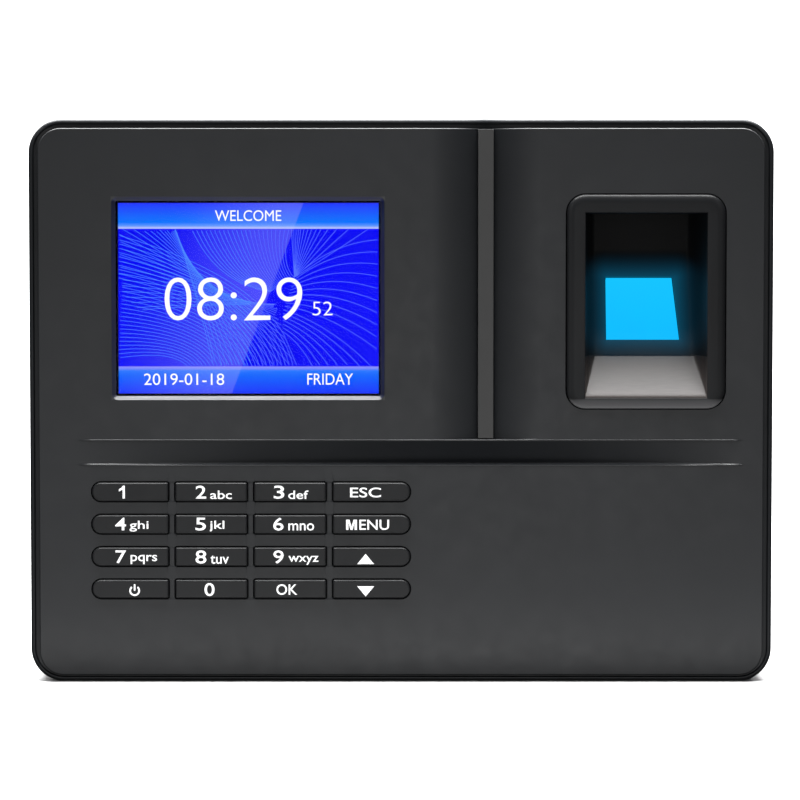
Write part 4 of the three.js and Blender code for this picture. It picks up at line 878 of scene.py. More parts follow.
def make_mat():
    """The silicone mat: a sheet, and under each key a dome, each with a mesh of its own."""
    low, high = span("keypad_mat")
    front = high[1] - MAT_THICKNESS
    sheet = [low[0], high[0], low[2], high[2]]
    edge = [(MAT_EDGE, front), (0.0, front + MAT_EDGE), (0.0, high[1])]
    loops = [standing(grown(sheet, -inset, MAT_CORNER), y) for inset, y in edge]
    piece_of("mat_sheet", Shape().solid(loops), silicone, replaces=["keypad_mat"], slot="silicone")
    for name in KEYS:
        key_low, key_high = span(name)
        x, z = (key_low[0] + key_high[0]) / 2, (key_low[2] + key_high[2]) / 2
        sections = [(DOME_FOOT, 0.0, front + 0.05), (DOME_CROWN, 0.0, low[1] + DOME_ROUND)]
        sections.append((DOME_CROWN, DOME_ROUND, low[1]))
        loops = []
        for (half_x, half_z), inset, y in sections:
            bounds = [x - half_x, x + half_x, z - half_z, z + half_z]
            loops.append(standing(grown(bounds, -inset, DOME_CORNER), y))
        dome = piece_of("dome_" + name[4:], Shape().solid(loops), silicone, slot="silicone")
        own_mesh(dome)


make_mat()


# ---------------------------------------------------------------- display

LENS_FRONT = lens_low[1]
PICTURE_Y = panel_low[1]
VIEW_TOP = VIEW[1] / 2
BAR_FOOT = 17.25  # lower edge of the bar at the top, from the picture's middle
BAR_HEAD = -17.0  # upper edge of the bar at the bottom
# Where the reflection's edge meets the picture's upper and lower edge, how far it fades, and its strength
WEDGE_HEAD = 13.7
WEDGE_FOOT = -4.2
SHEEN_REACH = 34.0
SHEEN = 0.095
LENS_GLOSS = 0.003
LINES_PROUD = 0.04
TEXT_PROUD = 0.08
LINE_WIDTH = 0.13
NET_WIDTH = 0.12
# The picture's colours from its lower edge up, by height from its middle
PICTURE_STOPS = [
    (-VIEW_TOP, linear(18, 46, 252)),
    (BAR_HEAD - 2.2, linear(0, 100, 255)),
    (BAR_HEAD - 1.0, linear(40, 120, 255)),
    (BAR_HEAD - 0.05, linear(150, 150, 255)),
    (BAR_HEAD + 0.02, linear(0, 0, 246)),
    (0.0, linear(0, 0, 252)),
    (BAR_FOOT - 0.02, linear(4, 4, 246)),
    (BAR_FOOT + 0.05, linear(205, 210, 255)),
    (BAR_FOOT + 0.75, linear(90, 150, 255)),
    (BAR_FOOT + 1.6, linear(0, 116, 255)),
    (VIEW_TOP, linear(34, 48, 253)),
]


def picture_material():
    """A lit screen: two graded bars over a deep blue field, and a faint reflection with one slanted edge."""
    nodes = Nodes("screen_picture")
    x, _, z, _ = nodes.place()
    stops = [(height / VIEW[1] + 0.5, colour) for height, colour in PICTURE_STOPS]
    graded = nodes.ramp(z / VIEW[1] + 0.5, stops)
    slope = (WEDGE_HEAD - WEDGE_FOOT) / VIEW[1]
    left_of = (z + VIEW_TOP) * slope + WEDGE_FOOT - x
    limits = {"Value": left_of, "From Min": SHEEN_REACH, "From Max": 0.0, "To Max": SHEEN}
    fading = nodes.add("ShaderNodeMapRange", limits, interpolation_type="SMOOTHSTEP")
    lit = nodes.mix(fading * (left_of > 0.0), graded, linear(225, 225, 255))
    within = (abs(x) < VIEW[0] / 2) * (abs(z) < VIEW[1] / 2)
    nodes.surface({"Base Color": (0.002, 0.002, 0.002, 1.0), "Roughness": 0.6, "Specular IOR Level": 0.0})
    nodes.surface({"Emission Color": nodes.mix(within, BLACK, lit), "Emission Strength": 1.0})
    return nodes.material


def line_material():
    """Fine light lines on the picture, a little more violet to the right of its middle."""
    nodes = Nodes("screen_lines")
    share = nodes.spread(nodes.place()[0], 0.0, 1.0)
    light = nodes.mix(share, linear(74, 132, 255), linear(84, 112, 255))
    nodes.surface({"Base Color": BLACK, "Specular IOR Level": 0.0})
    nodes.surface({"Emission Color": light, "Emission Strength": 1.0})
    return nodes.material


def text_material():
    """White lettering that gives its own even light."""
    nodes = Nodes("screen_white")
    nodes.surface({"Base Color": BLACK, "Roughness": 0.3, "Emission Color": WHITE, "Emission Strength": 1.0})
    return nodes.material


def lens_material():
    """Clear acrylic that lets the picture through and reflects a little."""
    nodes = Nodes("lens_acrylic")
    clear = nodes.add("ShaderNodeBsdfTransparent", {})
    gloss = nodes.add("ShaderNodeBsdfGlossy", {"Roughness": 0.06, "Color": (0.8, 0.82, 0.85, 1.0)})
    both = nodes.add("ShaderNodeMixShader", {0: LENS_GLOSS, 1: clear, 2: gloss})
    nodes.feed(nodes.output.inputs["Surface"], both)
    nodes.tree.nodes.remove(nodes.shader)
    return nodes.material


def at_picture(piece):
    """Moves a piece's origin to the middle of the picture, with its shape where it was."""
    shift = Vector((view_x, 0.0, view_z)) * MM
    piece.data.transform(Matrix.Translation(-shift))
    piece.location = shift


def bezier(start, bend, end, count=36):
    t = np.linspace(0, 1, count)[:, None]
    start, bend, end = (np.array(p, float) for p in (start, bend, end))
    return (1 - t) ** 2 * start + 2 * t * (1 - t) * bend + t * t * end


def ribbon(shape, line, width, y):
    """A thin flat strip along a line in the picture. It ends where it leaves the deep blue field."""
    line = np.asarray(line)
    half_x = VIEW[0] / 2 - 0.05
    kept = (np.abs(line[:, 0]) < half_x) & (line[:, 1] < BAR_FOOT - 0.05) & (line[:, 1] > BAR_HEAD + 0.05)
    along = np.gradient(line, axis=0)
    along /= np.maximum(np.linalg.norm(along, axis=1), 1e-6)[:, None]
    side = np.column_stack([-along[:, 1], along[:, 0]]) * width / 2
    middle = np.array([view_x, view_z])
    rings = [shape.ring(standing(line + middle + s, y)) for s in (side, -side)]
    for i in range(len(line) - 1):
        if kept[i] and kept[i + 1]:
            a, b = rings
            shape.faces.append((a[i], a[i + 1], b[i + 1], b[i]))


FOCUS = np.array([11.4, 5.2])  # where the fan on the right starts
RAYS_MEET = np.array([5.4, 1.6])  # where the rays from above end
FAN_TOPS = [30.3, 25.3, 22.3, 20.1, 18.3, 17.1, 15.9, 14.9, 13.9, 13.1, 12.5, 11.9, 11.3, 10.7]
FAN_SIDE = (14.6, -3.15, 10)  # height where the first side line ends, the step to the next, and how many
FAN_FEET = [31.0, 28.2, 25.4, 22.8, 20.4, 18.2, 16.2]


def fan():
    """Lines from the focus to the upper, the right and the lower edge, each bending down."""
    lines = [(FOCUS, (FOCUS + (top, BAR_FOOT)) / 2, (top, BAR_FOOT + 0.3)) for top in FAN_TOPS]
    first, step, count = FAN_SIDE
    for k in range(count):
        start = FOCUS - (0.26 * k, 0.8 * k)
        end = np.array([VIEW[0] / 2 + 1, first + step * k])
        lines.append((start, start + (end - start) * (0.45, 0.5) + (0, 4.4), end))
    for k, foot in enumerate(FAN_FEET):
        start = FOCUS - (2.7, 8.0) - (0.05 * k, 0.9 * k)
        end = np.array([foot, BAR_HEAD - 0.5])
        lines.append((start, start + (end - start) * (0.55, 0.28), end))
    return lines


def rays(count=23):
    """Lines that fall from the upper bar, steeply at first, and flatten to one point."""
    lines = []
    for share in np.linspace(0, 1, count):
        start = np.array([-14.2 + 24.4 * share, BAR_FOOT + 0.3])
        bend = start + (RAYS_MEET - start) * (0.3 + 0.2 * share, 0.86 - 0.3 * share)
        lines.append((start, bend, RAYS_MEET + (FOCUS - RAYS_MEET) * share**2))
    return lines


def net(count=30):
    """Two sets of lines that cross: one touches the curve under the rays, one bends to the lower bar."""
    lines = []
    curve = bezier((-16.9, BAR_FOOT), (-11.5, -0.6), (7.5, -0.3), count)
    for point, along in zip(curve, np.gradient(curve, axis=0)):
        along = along / np.linalg.norm(along)
        across = np.array([along[1], -along[0]])
        reach, lift = 34 * along, 2.6 * across
        lines.append((point - reach + lift, point - 0.4 * across, point + reach + lift))
    for share in np.linspace(0, 1, count):
        start = (-VIEW[0] / 2 - 1, 16.0 - 31.0 * share)
        bend = (7.6 - 26.0 * share, 4.5 - 17.0 * share)
        lines.append((start, bend, (12.1 - 27.0 * share, BAR_HEAD - 0.4)))
    return lines


def net_edge(z):
    """The net's right-hand limit at a height: the curve that falls from the rays to the lower bar."""
    fall = np.clip((1.0 - z) / (1.0 - BAR_HEAD), 0.0, 1.0)
    return 6.6 + 2.2 * fall + 3.4 * fall**2


def screen_lines():
    """The generic line pattern on the picture: a fan, rays and a net."""
    shape = Shape()
    y = PICTURE_Y - LINES_PROUD
    for line in fan() + rays():
        ribbon(shape, bezier(*line), LINE_WIDTH, y)
    for line in net():
        points = bezier(*line, count=60)
        ribbon(shape, points[points[:, 0] < net_edge(points[:, 1])], NET_WIDTH, y)
    return shape


SCREEN_TEXT = [
    ("WELCOME", (-8.3, 8.2, 19.2, 21.9), 0.0),
    ("08:29", (-20.9, 13.4, -5.5, 5.2), -0.012),
    ("52", (15.9, 20.9, -4.25, -0.8), -0.01),
    ("2019-01-18", (-26.1, -6.1, -21.6, -18.7), 0.0),
    ("FRIDAY", (14.6, 26.0, -21.5, -18.7), 0.0),
]


def make_display():
    """The lens, the lit screen, the line pattern on it and its words."""
    edge = [(0.15, 0.0), (0.04, 0.04), (0.0, 0.15)]
    x0, x1, z0, z1 = opening
    over = [x0 - LENS_OVERLAP, x1 + LENS_OVERLAP, z0 - LENS_OVERLAP, z1 + LENS_OVERLAP]
    front = [standing(grown(over, -inset, 0.9), LENS_FRONT + drop) for inset, drop in edge]
    back = [standing(grown(over, -inset, 0.9), lens_high[1] - drop) for inset, drop in reversed(edge)]
    lens = Shape().solid([*front, *back])
    piece_of("screen_lens", lens, lens_material(), replaces=["display_lens"], slot="lens_acrylic")

    panel = Shape().block(*(v for axis in range(3) for v in (panel_low[axis], panel_high[axis])))
    picture = piece_of("screen", panel, picture_material(), replaces=["display_panel"], slot="picture")
    lines = placed("screen_pattern", flat_mesh("screen_pattern", screen_lines()), line_material())
    words = Shape()
    for text, (x0, x1, z0, z1), weight in SCREEN_TEXT:
        bounds = (view_x + x0, view_x + x1, view_z + z0, view_z + z1)
        lettering(words, text, bounds, PICTURE_Y - TEXT_PROUD, weight)
    letters = placed("screen_text", flat_mesh("screen_text", words), text_material())
    for piece in (picture, lines, letters):
        at_picture(piece)


make_display()


# ---------------------------------------------------------------- finger pocket

HOOD_EDGE = [(0.0, 0.9), (0.0, -0.25), (0.06, -0.42), (0.22, -0.6), (0.5, -0.78), (0.9, -0.95), (1.35, -1.09)]
HOOD_EDGE += [(1.8, -1.17), (2.15, -1.2)]
HOOD_FLANGE = 2.5
POCKET_DRAW = 8.0  # depth at which the pocket's sides have drawn in fully
SILL_DEPTH = 1.2
MOUTH_EDGE = [(0.28, 0.0), (0.12, 0.04), (0.03, 0.12), (0.0, 0.25)]
READER_FOOT = RAMP_RISE + STEP_RISE
READER_HEAD = READER_FOOT + READER_RISE


def floor_y(height):
    """Y of the pocket's floor at a height over its lower edge: a ramp, a step, a tilted plane, a flat top."""
    if height <= RAMP_RISE:
        return hood_front + (FIELD_Y + RAMP_DEPTH - hood_front) * height / RAMP_RISE
    step = min(1.0, (height - RAMP_RISE) / STEP_RISE)
    above = min(max(height - READER_FOOT, 0.0), READER_RISE)
    return FIELD_Y + RAMP_DEPTH + STEP * step + above * math.tan(READER_TILT)


WINDOW_REACH = (WINDOW_LENGTH / 2 + WINDOW_GAP) * math.cos(READER_TILT)
WINDOW_FOOT = WINDOW_RAISE - WINDOW_REACH
WINDOW_HEAD = WINDOW_RAISE + WINDOW_REACH
ALONG_WINDOW = np.array([0.0, math.sin(READER_TILT), math.cos(READER_TILT)])
INTO_WINDOW = np.array([0.0, math.cos(READER_TILT), -math.sin(READER_TILT)])
# Heights over the pocket's lower edge at which its surface is laid out
stations = [0.0, 0.12, 0.3, 0.7, *np.linspace(1.2, RAMP_RISE, 9), RAMP_RISE + 0.06, READER_FOOT - 0.06]
stations += [*np.linspace(READER_FOOT, WINDOW_FOOT, 4), *np.linspace(WINDOW_FOOT, WINDOW_HEAD, 9)[1:]]
stations += [*np.linspace(WINDOW_HEAD, READER_HEAD, 5)[1:]]
stations += [READER_HEAD + 1.0, READER_HEAD + 4.0, pocket_height]
MOUTH_Y = hood_front + MOUTH_EDGE[-1][1]


def window_edges(height):
    """How far the window's opening reaches to the left and to the right at a height."""
    share = np.clip((height - WINDOW_FOOT) / (WINDOW_HEAD - WINDOW_FOOT), 0.0, 1.0)
    foot, head = WINDOW_HALVES
    return [WINDOW_GAP + foot + share * (head + lean - foot) for lean in (WINDOW_LEAN, -WINDOW_LEAN)]


def mouth(margin):
    """The pocket's opening, grown by a margin, with a point at each station on both sides."""
    middle = stations[1:-1]
    x0, x1 = pocket_x - pocket_half - margin, pocket_x + pocket_half + margin
    z0, z1 = pocket_z - margin, pocket_z + pocket_height + margin
    right = [(x1, z0), *((x1, pocket_z + h) for h in middle), (x1, z1)]
    left = [(x0, z1), *((x0, pocket_z + h) for h in reversed(middle)), (x0, z0)]
    return np.array(right + left)


def pocket_section(height, steps=12):
    """One level section of the pocket, from the left of its mouth round its floor to the right."""
    z = pocket_z + height
    floor = max(floor_y(height), MOUTH_Y + 0.02)
    deep = floor - MOUTH_Y
    draw_in = (pocket_half - POCKET_FLOOR_HALF) * min(1.0, deep / POCKET_DRAW)
    side = []
    for turn in np.radians(np.linspace(0, 90, steps + 1)):
        side.append((pocket_half - draw_in * (1 - math.cos(turn)), MOUTH_Y + deep * math.sin(turn)))
    to_left, to_right = (min(reach, side[-1][0] - 0.2) for reach in window_edges(height))
    left = [(pocket_x - x, y, z) for x, y in side]
    floor_points = [(pocket_x + x, floor, z) for x in (-to_left, -to_left / 3, to_right / 3, to_right)]
    right = [(pocket_x + x, y, z) for x, y in reversed(side)]
    return left + floor_points + right


def pocket(shape):
    """The pocket's surface, with a hole where the reader's window lies."""
    rows = [pocket_section(height) for height in stations]
    rings = [shape.ring(row) for row in rows]
    first = len(rows[0]) // 2 - 2
    for low, a, b in zip(stations, rings, rings[1:]):
        beside_window = WINDOW_FOOT - NEAR <= low < WINDOW_HEAD - NEAR
        for i in range(len(a) - 1):
            if beside_window and first <= i < first + 3:
                continue
            shape.faces.append((a[i], a[i + 1], b[i + 1], b[i]))
    shape.faces.append(tuple(rings[-1]))
    sill = [i for i, h in enumerate(stations) if WINDOW_FOOT - NEAR <= h <= WINDOW_HEAD + NEAR]
    edge = [rows[sill[0]][first + i] for i in range(4)]
    edge += [rows[i][first + 3] for i in sill[1:]]
    edge += [rows[sill[-1]][first + 3 - i] for i in range(1, 4)]
    edge += [rows[i][first] for i in reversed(sill[1:-1])]
    edge = np.array(edge)
    shape.loft([edge, edge + INTO_WINDOW * SILL_DEPTH])


HOOD_FOOT = 2.4  # height of the painted light that makes the hood's lower edge lighter
PAINTED_FOOT_LIGHT = linear(125, 125, 127)
# colour of the painted shade at the top of the ramp
RAMP_PAINTED_SHADE = linear(40, 37, 36)
SPILL_HALVES = (8.6, 7.6)  # half the width and height of the window's painted glow before it starts to fade
SPILL_REACH = 7.5
SPILL_STRENGTH = 0.9


def hood_material():
    """The hood's plastic: satin outside with painted light on its lower edge, warm painted light on the ramp
    that turns to painted shade up it, matt and painted near black as shade within, and a painted glow of the
    window around it.
    """
    nodes = Nodes("hood_plastic")
    x, y, z, place = nodes.place()
    clouds = nodes.spread(nodes.noise(place, 0.05), 0.0, 1.0)
    fine = nodes.noise(place, 3.2, detail=4.0)
    # painted light: the hood's lower edge made lighter, as if lit from below
    foot = (1.0 - (z - hood_low[2]) / HOOD_FOOT).clamped()
    outer = nodes.mix(clouds, linear(22, 23, 25), linear(26, 27, 29))
    outer = nodes.mix(foot**0.6, outer, PAINTED_FOOT_LIGHT)

    rise = z - pocket_z
    up_ramp = (rise / RAMP_RISE).clamped()
    brushed = nodes.noise(place, 1.1, detail=5.0, stretch=(0.25, 1.0, 6.0))
    # painted light on the ramp, fading to painted shade towards its top
    ramp_painted_light = nodes.mix(up_ramp, linear(82, 76, 74), RAMP_PAINTED_SHADE)
    ramp_painted_light = nodes.mix(nodes.spread(brushed, 0.0, 0.3), ramp_painted_light, RAMP_PAINTED_SHADE)

    on_ramp = rise < RAMP_RISE + 0.1
    in_mouth = (abs(x - pocket_x) < pocket_half + 0.1) * (rise > 0.0) * (rise < pocket_height)
    ramp = in_mouth * on_ramp
    # painted shade: the pocket's inside above the ramp painted near black
    pocket_painted_shade = in_mouth * (y - hood_front > 0.6) * (1.0 - on_ramp)
    colour = nodes.mix(pocket_painted_shade, nodes.mix(ramp, outer, ramp_painted_light), linear(9, 9, 10))
    rough = nodes.spread(fine, 0.33, 0.4) + pocket_painted_shade * 0.25
    # painted highlight: more specular at the ramp's foot
    gloss = ramp * (1.0 - up_ramp) * 0.22 + 0.25
    nodes.surface({"Base Color": colour, "Roughness": rough, "Specular IOR Level": gloss})
    nodes.bump(fine, 0.006)

    # painted glow of the window's light on the hood around the window
    middles = (pocket_x, pocket_z + WINDOW_RAISE)
    beyond = []
    for value, middle, half in zip((x, z), middles, SPILL_HALVES):
        beyond.append(nodes.math("MAXIMUM", abs(value - middle) - half, 0.0))
    distance = nodes.math("SQRT", beyond[0] * beyond[0] + beyond[1] * beyond[1])
    near = (1.0 - distance / SPILL_REACH).clamped()
    painted_glow = near**2.2 * (y > FIELD_Y + 3.0) * SPILL_STRENGTH
    nodes.surface({"Emission Color": linear(4, 72, 98), "Emission Strength": painted_glow})
    return nodes.material


def make_hood():
    """The hood around the finger pocket, with the pocket's surface."""
    shape = Shape()
    edge = [standing(hood_outline(-inset), FIELD_Y + depth) for inset, depth in HOOD_EDGE]
    shape.loft([standing(hood_outline(-HOOD_FLANGE), HOOD_SEAT), *edge])
    shape.region(hood_outline(-HOOD_EDGE[-1][0]), [mouth(MOUTH_EDGE[0][0])], hood_front)
    shape.loft([standing(mouth(margin), hood_front + drop) for margin, drop in MOUTH_EDGE])
    pocket(shape)
    piece_of("hood", shape, hood_material(), replaces=["finger_hood"], slot="hood_plastic")


def glass_material():
    """The reader's lit glass, with faint clouds in its light."""
    nodes = Nodes("reader_glass")
    _, _, z, place = nodes.place()
    share = ((z - (pocket_z + 14.0)) / 16.0).clamped()
    soft = nodes.mix(share, linear(16, 186, 255), linear(22, 196, 255))
    cloud = nodes.spread(nodes.noise(place, 0.15), 0.0, 0.25)
    nodes.surface({"Base Color": (0.0, 0.02, 0.03, 1.0), "Roughness": 0.35, "Specular IOR Level": 0.2})
    nodes.surface({"Emission Color": nodes.mix(cloud, soft, linear(8, 200, 255)), "Emission Strength": 1.0})
    return nodes.material


def make_window():
    """The lit glass: a flat block whose head is narrower than its foot, lying in the tilted plane."""
    middle = np.array([pocket_x, floor_y(WINDOW_RAISE), pocket_z + WINDOW_RAISE])
    loops = []
    for inset, sunk in ((0.15, 0.0), (0.04, 0.04), (0.0, 0.15), (0.0, 1.6)):
        half = WINDOW_LENGTH / 2 - inset
        foot, head = (h - inset for h in WINDOW_HALVES)
        corners = [(-foot, -half), (foot, -half), (head - WINDOW_LEAN, half), (-head - WINDOW_LEAN, half)]
        sink = (WINDOW_SINK + sunk) * INTO_WINDOW
        loops.append([middle + (x, 0, 0) + up * ALONG_WINDOW + sink for x, up in corners])
    glass = glass_material()
    piece_of("lit_window", Shape().solid(loops), glass, replaces=["reader_window"], slot="reader_glass")


make_hood()
make_window()


# ---------------------------------------------------------------- rear cover and wall plate

BACK_ROUND = 3.5
COUNTERBORE = (3.6, 7.0)
SLEEVE_WALL = 0.9
SEAT_THICKNESS = 2.0
SCREW_BORE = 1.7
SCREW_HEAD = (2.7, 1.8)
CASE_SHANK = (1.3, 11.0)
LOCK_HEAD = (2.7, 1.7)
LOCK_SHANK = (1.3, 8.0)
screw_low = {name: span(name)[0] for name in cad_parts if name.startswith("case_screw_")}
case_screws = {name: (low[0] + SCREW_HEAD[0], low[2] + SCREW_HEAD[0]) for name, low in screw_low.items()}
speaker_low, speaker_high = span("speaker_frame")
speaker = ((speaker_low[0] + speaker_high[0]) / 2, (speaker_low[2] + speaker_high[2]) / 2)
SLOT_PITCH, SLOT_HEIGHT, SLOT_ROWS, SLOT_REACH = 3.0, 1.3, 7, 11.5
usb_low, usb_high = span("usb_shell")
jack_low, jack_high = span("power_jack")
label_low, label_high = span("rating_label")
label_bounds = [label_low[0], label_high[0], label_low[2], label_high[2]]
FIT = 0.3
PLATE_RADIUS = 4.0
PLATE_THICKNESS = 1.2
PLATE_HOLE = (34.0, 11.0, 2.4)  # out from the middle, in from the upper and lower edge, and radius
HOOK_X = 30.0
HOOK_HALF = 4.0
HOOK_HEIGHTS = (100.0, 102.0)
HOOK_BACK = 5.6
TAB_HALF = 7.0
TAB_NOTCH = (-9.0, 9.0, 4.7)
TAB_FRONT = BACK_Y - 8.7


def rear_cover():
    """The rear cover with its recess, screw wells, speaker slots, label panel and port openings."""
    front = rear_low[1]
    wall_inner = BACK_Y - WALL
    loops = [(WALL, wall_inner), (WALL, front), (0.12, front), (0.0, front + 0.12)]
    loops += [(inset, BACK_Y - rise) for inset, rise in quarter(BACK_ROUND, 9)]
    body = Shape().solid([standing(case_outline(inset), y) for inset, y in loops])

    through = BACK_Y + 1.0
    cutter = Shape()
    half = plate_high[0] + FIT
    recess = rounded(-half, half, -8.0, plate_high[2] + FIT, PLATE_RADIUS)
    cutter.solid([standing(recess, plate_high[1] - PLATE_THICKNESS - FIT), standing(recess, through)])
    for x, z in case_screws.values():
        bore = disc(x, z, COUNTERBORE[0])
        cutter.solid([standing(bore, wall_inner - 1.0), standing(bore, through)])
    for row in range(SLOT_ROWS):
        offset = (row - (SLOT_ROWS - 1) / 2) * SLOT_PITCH
        reach = math.sqrt(SLOT_REACH**2 - offset**2)
        x, z = speaker[0], speaker[1] + offset
        slot = rounded(x - reach, x + reach, z - SLOT_HEIGHT / 2, z + SLOT_HEIGHT / 2, 0.6)
        cutter.solid([standing(slot, wall_inner - 1.0), standing(slot, through)])
    panel = rounded(*(edge + gap for edge, gap in zip(label_bounds, (-0.5, 0.5, -0.5, 0.5))), 1.0)
    cutter.solid([standing(panel, label_low[1] - 0.05), standing(panel, through)])
    for low, high in ((usb_low, usb_high), (jack_low, jack_high)):
        sides = (low[1] - FIT, high[1] + FIT, low[2] - FIT, high[2] + FIT)
        cutter.block(HALF_WIDTH - WALL - 1.0, HALF_WIDTH + 1.0, *sides)
    x0, x1, top = TAB_NOTCH
    cutter.block(x0, x1, TAB_FRONT - 2.0, plate_high[1] - PLATE_THICKNESS - FIT - 0.001, -1.0, top)
    return carved("rear_shell", body, cutter, bevel=0.18)


def sleeves():
    """The walls of the six screw wells, from the back of the cover to the screws' seats."""
    shape = Shape()
    radius, depth = COUNTERBORE
    for x, z in case_screws.values():
        outer, inner, bore = (disc(x, z, r) for r in (radius + SLEEVE_WALL, radius, SCREW_BORE))
        seat, top = BACK_Y - depth, BACK_Y - WALL
        loops = [standing(outer, top), standing(outer, seat - SEAT_THICKNESS)]
        loops += [standing(bore, seat - SEAT_THICKNESS), standing(bore, seat)]
        loops += [standing(inner, seat), standing(inner, top)]
        shape.loft(loops)
    return shape


def wall_plate():
    """The sheet of the wall plate, with four screw holes."""
    half = plate_high[0]
    back = plate_high[1]
    front = back - PLATE_THICKNESS
    edge = [(0.15, front), (0.0, front + 0.15), (0.0, back - 0.15), (0.15, back)]
    bottom, top = plate_low[2], plate_high[2]
    loops = [standing(rounded(i - half, half - i, bottom + i, top - i, PLATE_RADIUS - i), y) for i, y in edge]
    body = Shape().solid(loops)
    cutter = Shape()
    out, into, radius = PLATE_HOLE
    for x in (-out, out):
        for z in (bottom + into, top - into):
            cutter.solid([standing(disc(x, z, radius), y) for y in (front - 1, back + 1)])
    return carved("plate", body, cutter, bevel=0.12)


def hooks_and_tab():
    """What the wall plate hooks into the case with, and the tab that is locked from below."""
    shape = Shape()
    front = plate_high[1] - PLATE_THICKNESS
    for x in (-HOOK_X, HOOK_X):
        shape.block(x - HOOK_HALF, x + HOOK_HALF, plate_low[1] + HOOK_BACK, front, *HOOK_HEIGHTS)
    shape.block(-TAB_HALF, TAB_HALF, TAB_FRONT, front, plate_low[2], plate_low[2] + PLATE_THICKNESS)
    return shape


def screw_mesh(name, head, rise, shank, length):
    """A pan-head screw with a cross recess. Its head looks along +Y from the origin."""
    profile = [(0.0, rise), (0.5 * head, 0.97 * rise), (0.8 * head, 0.8 * rise), (0.96 * head, 0.5 * rise)]
    profile += [(head, 0.2 * rise), (head, 0.0), (shank, 0.0), (shank, -length), (0.0, -length - 0.4)]
    body = Shape()
    count = 32
    ahead = [(i, (i + 1) % count) for i in range(count)]
    tip = body.ring([(0.0, profile[0][1], 0.0)])[0]
    rings = [body.ring(standing(disc(0, 0, radius, count), y)) for radius, y in profile[1:-1]]
    end = body.ring([(0.0, profile[-1][1], 0.0)])[0]
    for a, b in zip(rings, rings[1:]):
        body.faces += [(a[i], a[j], b[j], b[i]) for i, j in ahead]
    for point, ring in ((tip, rings[0]), (end, rings[-1])):
        body.faces += [(point, ring[i], ring[j]) for i, j in ahead]
    cross = Shape()
    narrow, wide = 0.15 * head, 0.56 * head
    arms = [(narrow, wide), (narrow, narrow), (wide, narrow)]
    star = []
    for quarter in range(4):
        turn = quarter * math.pi / 2
        for x, z in reversed(arms):
            star.append((x * math.cos(turn) - z * math.sin(turn), x * math.sin(turn) + z * math.cos(turn)))
    deep = [(0.55 * x, 0.55 * z) for x, z in star]
    cross.solid([standing(deep, 0.25 * rise), standing(star, 1.2 * rise)])
    return carved(name, body, cross, bevel=0.05)


placed("rear_shell", rear_cover(), case_plastic, replaces=["rear_cover"], slot="rear_plastic", sharp=40)
piece_of("screw_wells", sleeves(), case_plastic, slot="rear_plastic")
placed("plate", wall_plate(), steel, replaces=["wall_plate"], slot="steel_sheet")
piece_of("plate_hooks", hooks_and_tab(), steel, slot="steel_sheet")
for name, (x, z) in case_screws.items():
    data = screw_mesh("rear_" + name[5:], *SCREW_HEAD, *CASE_SHANK)
    data.transform(Matrix.Translation(Vector((x, span(name)[1][1] - SCREW_HEAD[1], z)) * MM))
    placed("rear_" + name[5:], data, zinc, replaces=[name], slot="zinc_steel")


def lock_screw():
    """The screw that locks the plate's tab, put in from below."""
    low, high = span("wall_plate_screw")
    data = screw_mesh("lock_screw", *LOCK_HEAD, *LOCK_SHANK)
    middle = Vector(((low[0] + high[0]) / 2, (low[1] + high[1]) / 2, low[2] + LOCK_HEAD[1]))
    data.transform(Matrix.Rotation(-math.pi / 2, 4, "X"))
    data.transform(Matrix.Translation(middle * MM))
    placed("lock_screw", data, zinc, replaces=["wall_plate_screw"], slot="zinc_steel")


lock_screw()


# ---------------------------------------------------------------- sockets and label


def sideways(loop, x):
    """(y, z) points of the right-hand view, as points in space at one X."""
    return [(x, y, z) for y, z in loop]


def socket_shell(name, low, high, mouth_loops, material, slot, node):
    """A socket whose mouth faces right: an outer block with soft edges and a mouth that goes in."""
    outer = rounded(low[1], high[1], low[2], high[2], 0.5)
    rim = rounded(low[1] + 0.12, high[1] - 0.12, low[2] + 0.12, high[2] - 0.12, 0.4)
    loops = [sideways(outer, low[0]), sideways(outer, high[0] - 0.12), sideways(rim, high[0])]
    loops += [sideways(loop, x) for loop, x in mouth_loops]
    piece_of(name, Shape().solid(loops), material, replaces=[node], slot=slot)


def make_sockets():
    """The USB socket and the power jack on the right-hand side."""
    front = usb_high[0]
    sheet = 0.35
    inner = (usb_low[1] + sheet, usb_high[1] - sheet, usb_low[2] + sheet, usb_high[2] - sheet)
    mouths = [(rounded(*inner, 0.3), front), (rounded(*inner, 0.3), usb_low[0] + 1.5)]
    socket_shell("usb_socket", usb_low, usb_high, mouths, zinc, "zinc_steel", "usb_shell")
    middle = ((jack_low[1] + jack_high[1]) / 2, (jack_low[2] + jack_high[2]) / 2)
    rings = ((3.5, front), (3.15, front - 0.3), (3.1, jack_low[0] + 3.0))
    mouths = [(np.roll(disc(*middle, radius, 36), 4, axis=0), x) for radius, x in rings]
    socket_shell("power_socket", jack_low, jack_high, mouths, inner_plastic, "black_plastic", "power_jack")


def make_label():
    """A blank rating label: a printed frame with rules, and no words."""
    edge = [(0.0, label_low[1]), (0.0, label_high[1] - 0.05), (-0.05, label_high[1])]
    loops = [standing(grown(label_bounds, margin, 1.0), y) for margin, y in edge]
    piece_of("label_plate", Shape().solid(loops), label_paper, replaces=["rating_label"], slot="label_paper")
    rules = Shape()
    y = label_high[1] + 0.01
    x0, x1, z0, z1 = (edge + gap for edge, gap in zip(label_bounds, (1.5, -1.5, 1.5, -1.5)))
    rects = [(x0, x1, z, z + 0.25) for z in np.linspace(z0, z1 - 0.25, 6)]
    rects += [(x, x + 0.25, z0, z1) for x in (x0, x0 + 0.4 * (x1 - x0), x1 - 0.25)]
    for a, b, c, d in rects:
        rules.block(a, b, y - 0.03, y, c, d)
    piece_of("label_rules", rules, label_ink)


make_sockets()
make_label()


# ---------------------------------------------------------------- inner parts, kept from the frame


